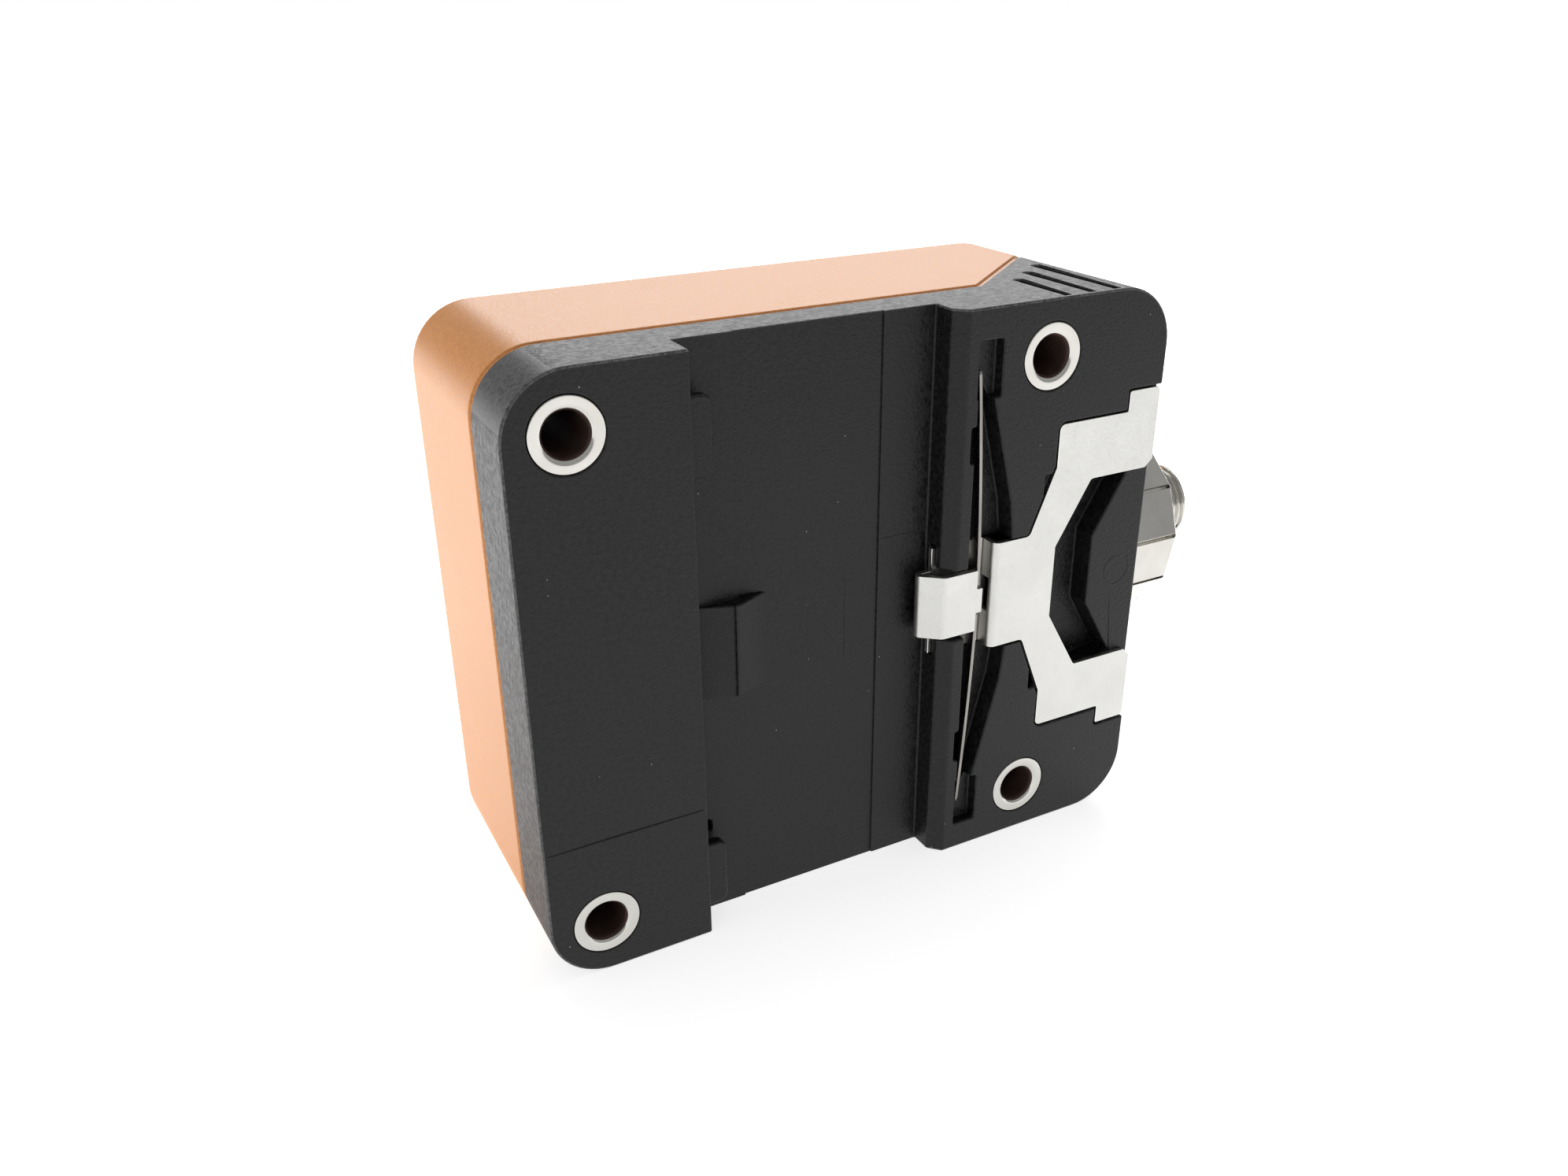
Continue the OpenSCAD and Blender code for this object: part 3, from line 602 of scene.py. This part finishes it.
def sleeve_set():
    """Four turned sleeves with flared mouths, on the square of the fixing holes."""
    flange_r = 4.43 * MM
    flange_t = 1 * MM
    wall = 0.95 * MM
    tube_r = sleeve_bore_r + wall
    length = base_low.y + 39.9 * MM
    mouth = 0.9 * MM
    profile = filleted([(sleeve_bore_r, 0), (flange_r, 0), (flange_r, flange_t), (tube_r, flange_t),
                        (tube_r, length), (sleeve_bore_r, length)],
                       [mouth, 0.14 * MM, 0.1 * MM, 0.05 * MM, 0.2 * MM, 0.3 * MM], steps=6)
    template = new_piece(turned(profile, 64, Vector(), "Y"), "sleeve")
    half = hole_pitch / 2
    points = [(x, 0, z) for x in (-half, half) for z in (-half, half)]
    piece = copies(template, "sleeve_set", points, BRIGHT_NICKEL)
    # the bores get the dark finish: partly tarnish, partly painted shade
    piece.data.materials.append(TARNISH_AND_SHADE_BORE)
    bore_reach = sleeve_bore_r + mouth * 0.3

    def in_bore(place):
        return math.hypot(abs(place.x) - half, abs(place.z) - half) < bore_reach

    painted(piece, len(piece.data.materials) - 1, in_bore)
    shaded(piece)
    return finished(piece, HOUSING, SLOTS["fixing_sleeves"], "fixing_sleeves")


# ---------------------------------------------------------------- rail clamp

def clamp_sheet():
    """The bent sheet that hooks the rail: plate with pull arms, wall, strip, fold and hook."""
    thickness = 0.8
    plate_d = 0.5
    strip_d = 3.4
    half_neck = 7.85
    half_hook = 4.55
    half_tongue = 1.8
    bend = [(29, plate_d), (25.8, plate_d), (25.8, strip_d), (17.2, strip_d)]
    fold = [(17.9, strip_d), (14.23, strip_d), (17.745, plate_d), (22.9, plate_d)]
    tongue = [(22, plate_d), (23.8, plate_d)]
    neck_part = sheet_outline(bend, [0, 0.7, 0.7, 0], thickness)
    hook_part = sheet_outline(fold, [0, 0.55, 0.9, 0], thickness)
    tongue_part = sheet_outline(tongue, [0, 0], thickness)

    def band(outline, half, name):
        points = [point * MM for point in outline]
        return new_piece(extruded(points, -half * MM, half * MM), name)

    half_plate = [(28.5, half_neck), (31.15, half_neck), (34.9, 17.1), (34.9, 23), (46.5, 23),
                  (46.5, 25.9), (51.8, 25.9), (51.8, 15.5), (50.6, 14.35), (41.1, 14.35), (35.8, 5.3)]
    half_radii = [0, 0.8, 0.5, 0.8, 0.25, 0.3, 0.7, 0.25, 0.3, 0.6, 0.5]
    outline = half_plate + [(x, -z) for x, z in half_plate[::-1]]
    radii = half_radii + half_radii[::-1]
    plate_points = [point * MM for point in filleted(outline, radii, steps=5)]
    far_face = clamp_low.y + thickness * MM
    plate = new_piece(extruded(plate_points, clamp_low.y, far_face, "XZ"), "clamp_sheet",
                      SATIN_STEEL, POLISHED_EDGE)
    combined(plate, "UNION", band(neck_part, half_neck, "neck_band"),
             band(hook_part, half_hook, "hook_band"), band(tongue_part, half_tongue, "tongue_band"))
    combined(plate, "DIFFERENCE", block((24.9, 1.1, -2.5), (26.7, 2.8, 2.5)))
    whole_faces(plate)
    rounded_edges(plate, 0.09 * MM, 2, 35, edge_index=1)
    return finished(plate, CLAMP, SLOTS["rail_clamp"], "rail_clamp")


def leaf_half(side):
    """Half of the leaf spring, bowed from its middle out to its end."""
    half_l = leaf_high.z
    thickness = 0.5 * MM
    end_x = 21.62 * MM
    middle_x = 23.25 * MM
    notch_z = 2.0 * MM
    notch_d = 1.05 * MM
    round_r = 0.12 * MM
    sag_power = 1.6
    steps = 56
    bm = bmesh.new()
    rings = []
    heights = [half_l * step / steps for step in range(steps + 1)]
    heights = sorted(heights + [notch_z, notch_z + 0.02 * MM])
    for height in heights:
        x = end_x + (middle_x - end_x) * (1 - (height / half_l) ** sag_power)
        top = notch_d if height <= notch_z else leaf_low.y
        section = filleted([(x - thickness / 2, top), (x + thickness / 2, top),
                            (x + thickness / 2, leaf_high.y), (x - thickness / 2, leaf_high.y)],
                           round_r, steps=3)
        rings.append([bm.verts.new((p.x, p.y, side * height)) for p in section])
    for ring, following in zip(rings, rings[1:]):
        for i in range(len(ring)):
            j = (i + 1) % len(ring)
            bm.faces.new((ring[i], ring[j], following[j], following[i]))
    bm.faces.new(rings[0])
    bm.faces.new(rings[-1])
    bmesh.ops.recalc_face_normals(bm, faces=bm.faces)
    for face in bm.faces:
        face.smooth = len(face.verts) == 4
    name = "leaf_upper_half" if side > 0 else "leaf_lower_half"
    piece = new_piece(bm, name, SPRING_STEEL)
    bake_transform(piece)
    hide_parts("leaf_spring")
    return piece


# ---------------------------------------------------------------- connector

def collar_ring():
    """The twelve-sided collar, chamfered at its outer end and notched at each corner."""
    chamfer = 0.65 * MM
    collar_r = 14.5 * MM
    sides = 12
    start_angle = math.atan2(*collar_corner())
    bm = bmesh.new()
    rings = []
    for x, radius in ((collar_low.x - MM, collar_r + 0.2 * MM),
                      (collar_high.x - chamfer, collar_r + 0.01 * MM),
                      (collar_high.x + 0.2 * MM, collar_r - chamfer * 1.25)):
        ring = []
        for i in range(sides):
            angle = start_angle + 2 * math.pi * i / sides
            depth = connector_depth + radius * math.cos(angle)
            ring.append(bm.verts.new((x, depth, radius * math.sin(angle))))
        rings.append(ring)
    for ring, following in zip(rings, rings[1:]):
        for i in range(sides):
            j = (i + 1) % sides
            bm.faces.new((ring[i], ring[j], following[j], following[i]))
    bm.faces.new(rings[0])
    bm.faces.new(rings[-1])
    bmesh.ops.recalc_face_normals(bm, faces=bm.faces)
    envelope = new_piece(bm, "collar_envelope")
    piece = new_piece(merged_copy("connector_collar"), "collar_ring", BRIGHT_NICKEL)
    combined(piece, "INTERSECT", envelope)
    whole_faces(piece)
    rounded_edges(piece, 0.16 * MM, 2, 25)
    return finished(piece, HOUSING, SLOTS["connector_collar"], "connector_collar")


def collar_corner():
    """The way from the collar's axis to one of its corners, as (along Z, along the depth)."""
    notch_clear = 0.7 * MM
    points = [v.co for v in frame["nodes"]["connector_collar"].data.vertices
              if v.co.x > collar_high.x - notch_clear / 2]
    furthest = max(points, key=lambda p: math.hypot(p.y - connector_depth, p.z))
    return furthest.z, furthest.y - connector_depth


def shell_barrel():
    """The connector's shell, turned, with a real helical thread of one millimetre pitch."""
    pitch = 1 * MM
    thread_depth = 0.6 * MM
    relief_r = thread_r - 0.5 * MM
    neck_r = 7.4 * MM
    bore_r = 4.3 * MM
    flange_r = (shell_high.z - shell_low.z) / 2
    wall_x = shell_low.x + 2.8 * MM
    neck_end = collar_high.x - 1.5 * MM
    start = collar_high.x + 0.2 * MM
    end = shell_high.x
    chamfer = 0.6 * MM
    stations = 92
    outer = [(flange_r, shell_low.x), (flange_r, wall_x), (neck_r, wall_x), (neck_r, neck_end),
             (relief_r, neck_end)]
    outer += [(thread_r, start + (end - start) * i / stations) for i in range(stations + 1)]
    profile = outer + [(bore_r + 0.3 * MM, end), (bore_r, end - 0.3 * MM), (bore_r, shell_low.x)]
    bm = turned(profile, 72, Vector((0, connector_depth, 0)), "X")
    for vert in bm.verts:
        across = vert.co.y - connector_depth
        radius = math.hypot(across, vert.co.z)
        if abs(radius - thread_r) > 0.01 * MM:
            continue
        phase = (vert.co.x - start) / pitch - math.atan2(vert.co.z, across) / (2 * math.pi)
        ridge = 1 - abs(2 * (phase % 1) - 1)
        height = min(1, max(0, ridge * 1.45 - 0.15)) * thread_depth
        target = thread_r - thread_depth + height
        target = min(target, thread_r - chamfer + (end - vert.co.x), relief_r + (vert.co.x - start))
        vert.co.y = connector_depth + across * target / radius
        vert.co.z *= target / radius
    bmesh.ops.remove_doubles(bm, verts=bm.verts, dist=0.001 * MM)
    piece = new_piece(bm, "shell_barrel", BRIGHT_NICKEL)
    rounded_edges(piece, 0.12 * MM, 2, 50)
    return finished(piece, HOUSING, SLOTS["connector_shell"], "connector_shell")


def contact_places():
    """Where the four contacts stand, as (depth, Z)."""
    ring_r = 2.83 * MM
    angles = [math.radians(45 + 90 * i) for i in range(4)]
    return [(connector_depth + ring_r * math.cos(a), ring_r * math.sin(a)) for a in angles]


def contact_pin_set():
    """Gold-plated pins with domed tips, on a ring round the connector's axis."""
    radius = 0.5 * MM
    length = pins_high.x - pins_low.x
    profile = filleted([(AXIS_R, 0), (radius, 0), (radius, length), (AXIS_R, length)],
                       [0, 0.15 * MM, 0.4 * MM, 0], steps=6)
    template = new_piece(turned(profile, 20, Vector((pins_low.x, 0, 0)), "X"), "pin", GOLD_PLATE)
    points = [(0, depth, z) for depth, z in contact_places()]
    piece = copies(template, "contact_pin_set", points, GOLD_PLATE)
    return finished(piece, HOUSING, SLOTS["contact_pins"], "contact_pins")


def contact_lead_set():
    """Tinned leads from the pins' tails to the board, with soft bends."""
    lead_r = 0.34 * MM
    land_x = board_high.x - 0.9 * MM
    paths = []
    for depth, z in contact_places():
        near = depth < connector_depth
        land_d = board_low.y - lead_r if near else board_high.y + lead_r
        paths.append([(board_high.x - 4 * MM, land_d, z), (land_x, land_d, z),
                      (pins_low.x + 0.2 * MM, depth, z), (pins_low.x + 0.4 * MM, depth, z)])
    piece = wires("contact_lead_set", paths, lead_r, 0.8 * MM, TINNED_COPPER, sides=12)
    return finished(piece, HOUSING, SLOTS["contact_leads"], "contact_leads")


# ---------------------------------------------------------------- circuit board

def printed_tracks():
    """Tracks under the resist, as low ridges between the chip, the drivers and the leads."""
    radius = 0.22 * MM
    axis_d = board_low.y + 0.17 * MM
    runs = []
    for i in range(6):
        z = -5 + 2 * i
        bend_x = 8 + 0.5 * i
        far_z = z * 1.55
        runs.append([(-1.5, z), (bend_x - 5, z), (bend_x, far_z), (12.2, far_z)])
        runs.append([(-14.5, z), (-17 - 0.6 * i, z), (-19 - 0.6 * i, z * 2.6), (-26, z * 2.6)])
    upper_runs = [[(19.8, 9), (28, 9), (32.6, 2)],
                  [(10, 16.5), (10, 12), (16, 12)],
                  [(12, 24), (27, 24), (32, 22)],
                  [(-6, 6.4), (-6, 9), (-2, 13), (-2, 30), (20, 30)]]
    for side in (-1, 1):
        runs += [[(x, side * z) for x, z in run] for run in upper_runs]
    paths = [[(x * MM, axis_d, z * MM) for x, z in run] for run in runs]
    piece = wires("printed_tracks", paths, radius, 0.6 * MM, PRINTED_TRACK, sides=8)
    return finished(piece, HOUSING, SLOTS["circuit_board"])


def plated_holes():
    """Rings of tinned copper round the board's through holes, on both faces."""
    inner_r = 0.2 * MM
    outer_r = 0.45 * MM
    proud = -0.03 * MM
    sunk = 0.1 * MM
    ring = [(inner_r, proud), (outer_r, proud), (outer_r, sunk), (inner_r, sunk)]
    points = []
    for i in range(6):
        points.append((-26 - 0.4 * (i % 2), -13 + 5.2 * i))
        points.append((22 + 1.8 * i, 27 - 1.5 * (i % 2)))
        points.append((22 + 1.8 * i, -27 + 1.5 * (i % 2)))
    places = [(x * MM, board_low.y, z * MM) for x, z in points]
    places += [(x * MM, board_high.y - 0.07 * MM, z * MM) for x, z in points]
    template = new_piece(turned(ring, 16, Vector(), "Y"), "ring", TINNED_COPPER)
    piece = copies(template, "plated_holes", places, TINNED_COPPER)
    return finished(piece, HOUSING, SLOTS["contact_leads"])


def chip_legs(name, node, places, reach, width):
    """Gull-wing legs from a package's sides down to the board."""
    top = board_low.y - 0.75 * MM
    foot = board_low.y - 0.08 * MM
    path = [(-0.2 * MM, top), (reach * 0.4, top), (reach * 0.55, foot), (reach, foot)]
    outline = sheet_outline(path, [0, 0.08 * MM, 0.08 * MM, 0], 0.16 * MM)
    template = new_piece(extruded(outline, -width / 2, width / 2), "leg", TINNED_COPPER)
    piece = copies(template, name, places, TINNED_COPPER)
    return finished(piece, HOUSING, SLOTS[node])


def packages():
    """The controller and the two drivers, with draughted bodies, legs and a first-leg mark."""
    draught = 0.12 * MM
    mark_inset = 1.2 * MM
    mark_r = 0.5 * MM
    mark_d = 0.12 * MM
    dimple = [(AXIS_R, -1 * MM), (mark_r, -1 * MM), (mark_r, mark_d), (AXIS_R, mark_d)]
    controller_centres = [(-8 * MM, 0)]
    driver_centres = [(16 * MM, -9 * MM), (16 * MM, 9 * MM)]
    for node, name, centres in (("controller_chip", "controller_body", controller_centres),
                                ("output_drivers", "driver_bodies", driver_centres)):
        bm = merged_copy(node)
        low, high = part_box(node)
        for vert in bm.verts:
            if vert.co.y > low.y + 0.1 * MM:
                continue
            centre_x, centre_z = min(centres, key=lambda c: abs(c[1] - vert.co.z))
            vert.co.x -= math.copysign(draught, vert.co.x - centre_x)
            vert.co.z -= math.copysign(draught, vert.co.z - centre_z)
        piece = new_piece(bm, name, CHIP_BLACK)
        marks = [Vector((low.x + mark_inset, low.y, high.z - mark_inset))]
        if len(centres) > 1:
            marks.append(Vector((low.x + mark_inset, low.y, low.z + 4 * mark_inset)))
        cutters = [new_piece(turned(dimple, 24, mark, "Y"), "cutter") for mark in marks]
        combined(piece, "DIFFERENCE", *cutters)
        rounded_edges(piece, 0.12 * MM, 2)
        finished(piece, HOUSING, SLOTS[node], node)
    leg_pitch = 1.1 * MM
    chip_x = -8 * MM
    chip_half = 5 * MM
    legs = []
    for i in range(8):
        along = (-3.5 + i) * leg_pitch
        legs.append((chip_x + chip_half, 0, along, 0.0))
        legs.append((chip_x - chip_half, 0, along, math.pi))
        legs.append((chip_x + along, 0, chip_half, -math.pi / 2))
        legs.append((chip_x + along, 0, -chip_half, math.pi / 2))
    chip_legs("controller_legs", "controller_chip", legs, 1.1 * MM, 0.45 * MM)
    legs = []
    for z in (-9, 9):
        for step in (-2.2, 0, 2.2):
            along = (z + step) * MM
            legs += [(19.25 * MM, 0, along, 0.0), (12.75 * MM, 0, along, math.pi)]
    chip_legs("driver_legs", "output_drivers", legs, 1.3 * MM, 0.8 * MM)


def end_capped(node, name, body, cap_share):
    """Small ceramic parts with tinned ends: each is cut near its ends, which take the cap finish."""
    bm = merged_copy(node)
    islands = []
    left = set(bm.verts)
    while left:
        stack = [left.pop()]
        island = set(stack)
        while stack:
            for edge in stack.pop().link_edges:
                for vert in edge.verts:
                    if vert in left:
                        left.discard(vert)
                        island.add(vert)
                        stack.append(vert)
        islands.append([min(v.co.x for v in island), max(v.co.x for v in island)])
    levels = set()
    for low, high in islands:
        reach = (high - low) * cap_share
        levels |= {round(low + reach, 6), round(high - reach, 6)}
    for level in sorted(levels):
        bmesh.ops.bisect_plane(bm, geom=bm.verts[:] + bm.edges[:] + bm.faces[:], dist=1e-7,
                               plane_co=(level, 0, 0), plane_no=(1, 0, 0))
    for face in bm.faces:
        x = face.calc_center_median().x
        for low, high in islands:
            if low - 1e-6 <= x <= high + 1e-6:
                reach = (high - low) * cap_share
                face.material_index = int(x < low + reach or x > high - reach)
                break
    piece = new_piece(bm, name, body, TINNED_COPPER)
    rounded_edges(piece, 0.1 * MM, 2, 50)
    return finished(piece, HOUSING, SLOTS[node], node)


def led_lenses():
    """Domed lenses on the two status lights, towards the light guides."""
    led_low, led_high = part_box("status_leds")
    radius = 1.1 * MM
    profile = filleted([(AXIS_R, -0.2 * MM), (radius, -0.2 * MM), (radius, 0.3 * MM),
                        (AXIS_R, 0.36 * MM)], [0, 0, 0.35 * MM, 0], steps=6)
    template = new_piece(turned(profile, 28, Vector(), "X"), "lens", CLEAR_YELLOW)
    depth = (led_low.y + led_high.y) / 2
    centre_z = led_high.z - 1.5 * MM
    places = [(led_high.x - 0.02 * MM, depth, z) for z in (-centre_z, centre_z)]
    piece = copies(template, "led_lenses", places, CLEAR_YELLOW)
    return finished(piece, HOUSING, SLOTS["status_leds"])


# ---------------------------------------------------------------- sensing coil

def coil_turns():
    """Geometry Nodes: one enamelled wire wound up and down the former, layer over layer."""
    low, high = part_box("coil_winding")
    wire = 0.78 * MM
    inner_r = 15.25 * MM
    layers = int((high.x - inner_r) / wire)
    per_layer = int((high.y - low.y) / wire)
    sizes = {"Wire": wire, "Inner radius": inner_r + wire / 2, "Low": low.y + wire / 2,
             "Turns": float(layers * per_layer), "Per layer": float(per_layer), "Segments": 40}
    tree, given = geometry_tree("wound_wire", **sizes)

    def maths(operation, *values):
        return add_node(tree, "ShaderNodeMath", {"operation": operation},
                        **{f"_{i}": value for i, value in enumerate(values)}).outputs[0]

    count = maths("MULTIPLY", given["Turns"], given["Segments"])
    line = add_node(tree, "GeometryNodeMeshLine", Count=count).outputs[0]
    turn = maths("DIVIDE", add_node(tree, "GeometryNodeInputIndex").outputs[0], given["Segments"])
    layer = maths("DIVIDE", turn, given["Per layer"])
    step_up = add_node(tree, "ShaderNodeMapRange", {"interpolation_type": "SMOOTHSTEP"},
                       Value=maths("FRACT", layer), From_Min=0.95, From_Max=1.0).outputs[0]
    radius = maths("MULTIPLY_ADD", maths("ADD", maths("FLOOR", layer), step_up), given["Wire"],
                   given["Inner radius"])
    across = maths("PINGPONG", turn, maths("SUBTRACT", given["Per layer"], 0.5))
    depth = maths("MULTIPLY_ADD", across, given["Wire"], given["Low"])
    angle = maths("MULTIPLY", turn, 2 * math.pi)
    place = add_node(tree, "ShaderNodeCombineXYZ", X=maths("MULTIPLY", radius, maths("COSINE", angle)),
                     Y=depth, Z=maths("MULTIPLY", radius, maths("SINE", angle))).outputs[0]
    wound = add_node(tree, "GeometryNodeSetPosition", Geometry=line, Position=place).outputs[0]
    curve = add_node(tree, "GeometryNodeMeshToCurve", Mesh=wound).outputs[0]
    ring = add_node(tree, "GeometryNodeCurvePrimitiveCircle", Resolution=6,
                    Radius=maths("MULTIPLY", given["Wire"], 0.49)).outputs[0]
    tube = add_node(tree, "GeometryNodeCurveToMesh", Curve=curve, Profile_Curve=ring,
                    Fill_Caps=True).outputs[0]
    piece = grown([(0, 0, 0)], "coil_turns", tree, tube, COPPER_ENAMEL, sizes)
    return finished(piece, HOUSING, SLOTS["coil_winding"], "coil_winding")


def coil_lead_pair():
    """The winding's two ends, led straight through the core to the board."""
    low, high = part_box("coil_leads")
    paths = []
    for side in (-1, 1):
        x = side * 2 * MM
        z = (low.z + high.z) / 2
        paths.append([(x, low.y, z), (x, (low.y + high.y) / 2, z), (x, high.y, z)])
    piece = wires("coil_lead_pair", paths, 0.3 * MM, 0.2 * MM, COPPER_ENAMEL, sides=12)
    return finished(piece, HOUSING, SLOTS["coil_leads"], "coil_leads")


def seal_ring():
    """The rubber ring between the collar and the housing's end wall."""
    low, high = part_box("collar_seal")
    radius = (high.x - low.x) / 2
    ring_r = (high.z - low.z) / 2 - radius
    steps = 20
    angles = [2 * math.pi * i / steps for i in range(steps)]
    middle_x = low.x + radius
    profile = [(ring_r + radius * math.cos(a), middle_x + radius * math.sin(a)) for a in angles]
    axis_place = Vector((0, connector_depth, 0))
    piece = new_piece(turned(profile, 72, axis_place, "X"), "seal_ring", BLACK_RUBBER)
    return finished(piece, HOUSING, SLOTS["collar_seal"], "collar_seal")


base_shell()
softened_node("front_cover", "cover_shell", 0.22 * MM, ORANGE_PLASTIC, sharp=35)
softened_node("cover_seal", "seal_strip", 0.12 * MM, BLACK_RUBBER)
sleeve_set()
clamp_sheet()
leaf_half(1)
leaf_half(-1)
collar_ring()
shell_barrel()
seal_ring()
softened_node("contact_insert", "insert_body", 0.15 * MM, INSERT_PLASTIC, sharp=45)
contact_pin_set()
contact_lead_set()
softened_node("circuit_board", "board_panel", 0.12 * MM, GREEN_RESIST)
printed_tracks()
plated_holes()
packages()
end_capped("capacitors", "capacitor_set", TAN_CERAMIC, 0.24)
end_capped("resistors", "resistor_set", BLACK_FILM, 0.22)
softened_node("status_leds", "led_bodies", 0.15 * MM, CLEAR_YELLOW)
led_lenses()
softened_node("light_guides", "light_guide_pair", 0.15 * MM, LIGHT_GUIDE, sharp=45)
softened_node("potting_resin", "resin_layer", 0.35 * MM, CAST_RESIN, segments=3)
softened_node("coil_carrier", "carrier_cup", 0.2 * MM, NYLON)
softened_node("shield_plate", "shield_foil", 0.08 * MM, ROLLED_BRASS, sharp=45)
softened_node("ferrite_core", "core_pot", 0.3 * MM, GREY_FERRITE, segments=3, sharp=45)
softened_node("coil_former", "former_spool", 0.12 * MM, FORMER_PLASTIC, sharp=45)
coil_turns()
coil_lead_pair()


# ---------------------------------------------------------------- studio

def soft_light(name, place, size, power):
    """A soft white panel light that points at the middle of the fixing holes."""
    lamp = bpy.data.lights.new(name, "AREA")
    lamp.shape = "RECTANGLE"
    lamp.size, lamp.size_y = size
    lamp.energy = power
    panel = bpy.data.objects.new(name, lamp)
    panel.location = place
    panel.rotation_euler = (-Vector(place)).to_track_quat("-Z", "Y").to_euler()
    bpy.context.scene.collection.objects.link(panel)


def studio():
    """A glowing white table top under soft light, and the camera."""
    scene = bpy.context.scene
    floor_glow = 0.66
    floor_glow_behind = 1.55
    glow_run = 0.12
    room_glow = 0.4
    bm = bmesh.new()
    bmesh.ops.create_circle(bm, cap_ends=True, segments=96, radius=6.0,
                            matrix=Matrix.Translation((0, 0, base_low.z)))
    paper = Finish("white_paper", 0.8, Specular_IOR_Level=0.1)
    fleck = paper.noise(40 * MM)
    paper.use("Base Color", paper.blended(fleck, (0.90, 0.90, 0.90), (0.93, 0.93, 0.93)))
    paper.shader.inputs["Emission Color"].default_value = (1, 1, 1, 1)
    depth = add_node(paper.tree, "ShaderNodeSeparateXYZ", Vector=paper.place).outputs["Y"]
    paper.use("Emission Strength", paper.ranged(depth, 0.0, glow_run, floor_glow, floor_glow_behind))
    new_piece(bm, "table_top", paper.material)

    world = bpy.data.worlds.new("white_room")
    world.use_nodes = True
    tree = world.node_tree
    backdrop = tree.nodes["Background"]
    backdrop.inputs["Color"].default_value = (1, 1, 1, 1)
    seen = add_node(tree, "ShaderNodeLightPath").outputs["Is Camera Ray"]
    strength = add_node(tree, "ShaderNodeMapRange", Value=seen, To_Min=room_glow, To_Max=1.0)
    tree.links.new(strength.outputs["Result"], backdrop.inputs["Strength"])
    scene.world = world
    soft_light("window_light", (0.5, 0.95, 0.55), (0.9, 0.55), 6.0)
    soft_light("overhead_light", (0.15, 0.2, 1.0), (0.5, 0.5), 1.5)
    soft_light("side_light", (-1.0, -0.05, 0.75), (0.4, 0.4), 0.5)

    lens = bpy.data.cameras.new("camera")
    lens.sensor_width = 36
    lens.lens = 29.377
    lens.clip_start = 0.01
    camera = bpy.data.objects.new("camera", lens)
    camera.location = (-0.07289, -0.12565, 0.07535)
    camera.rotation_euler = [math.radians(a) for a in (64.880, 0.446, -28.020)]
    scene.collection.objects.link(camera)
    scene.camera = camera
    scene.view_settings.view_transform = "Standard"


studio()
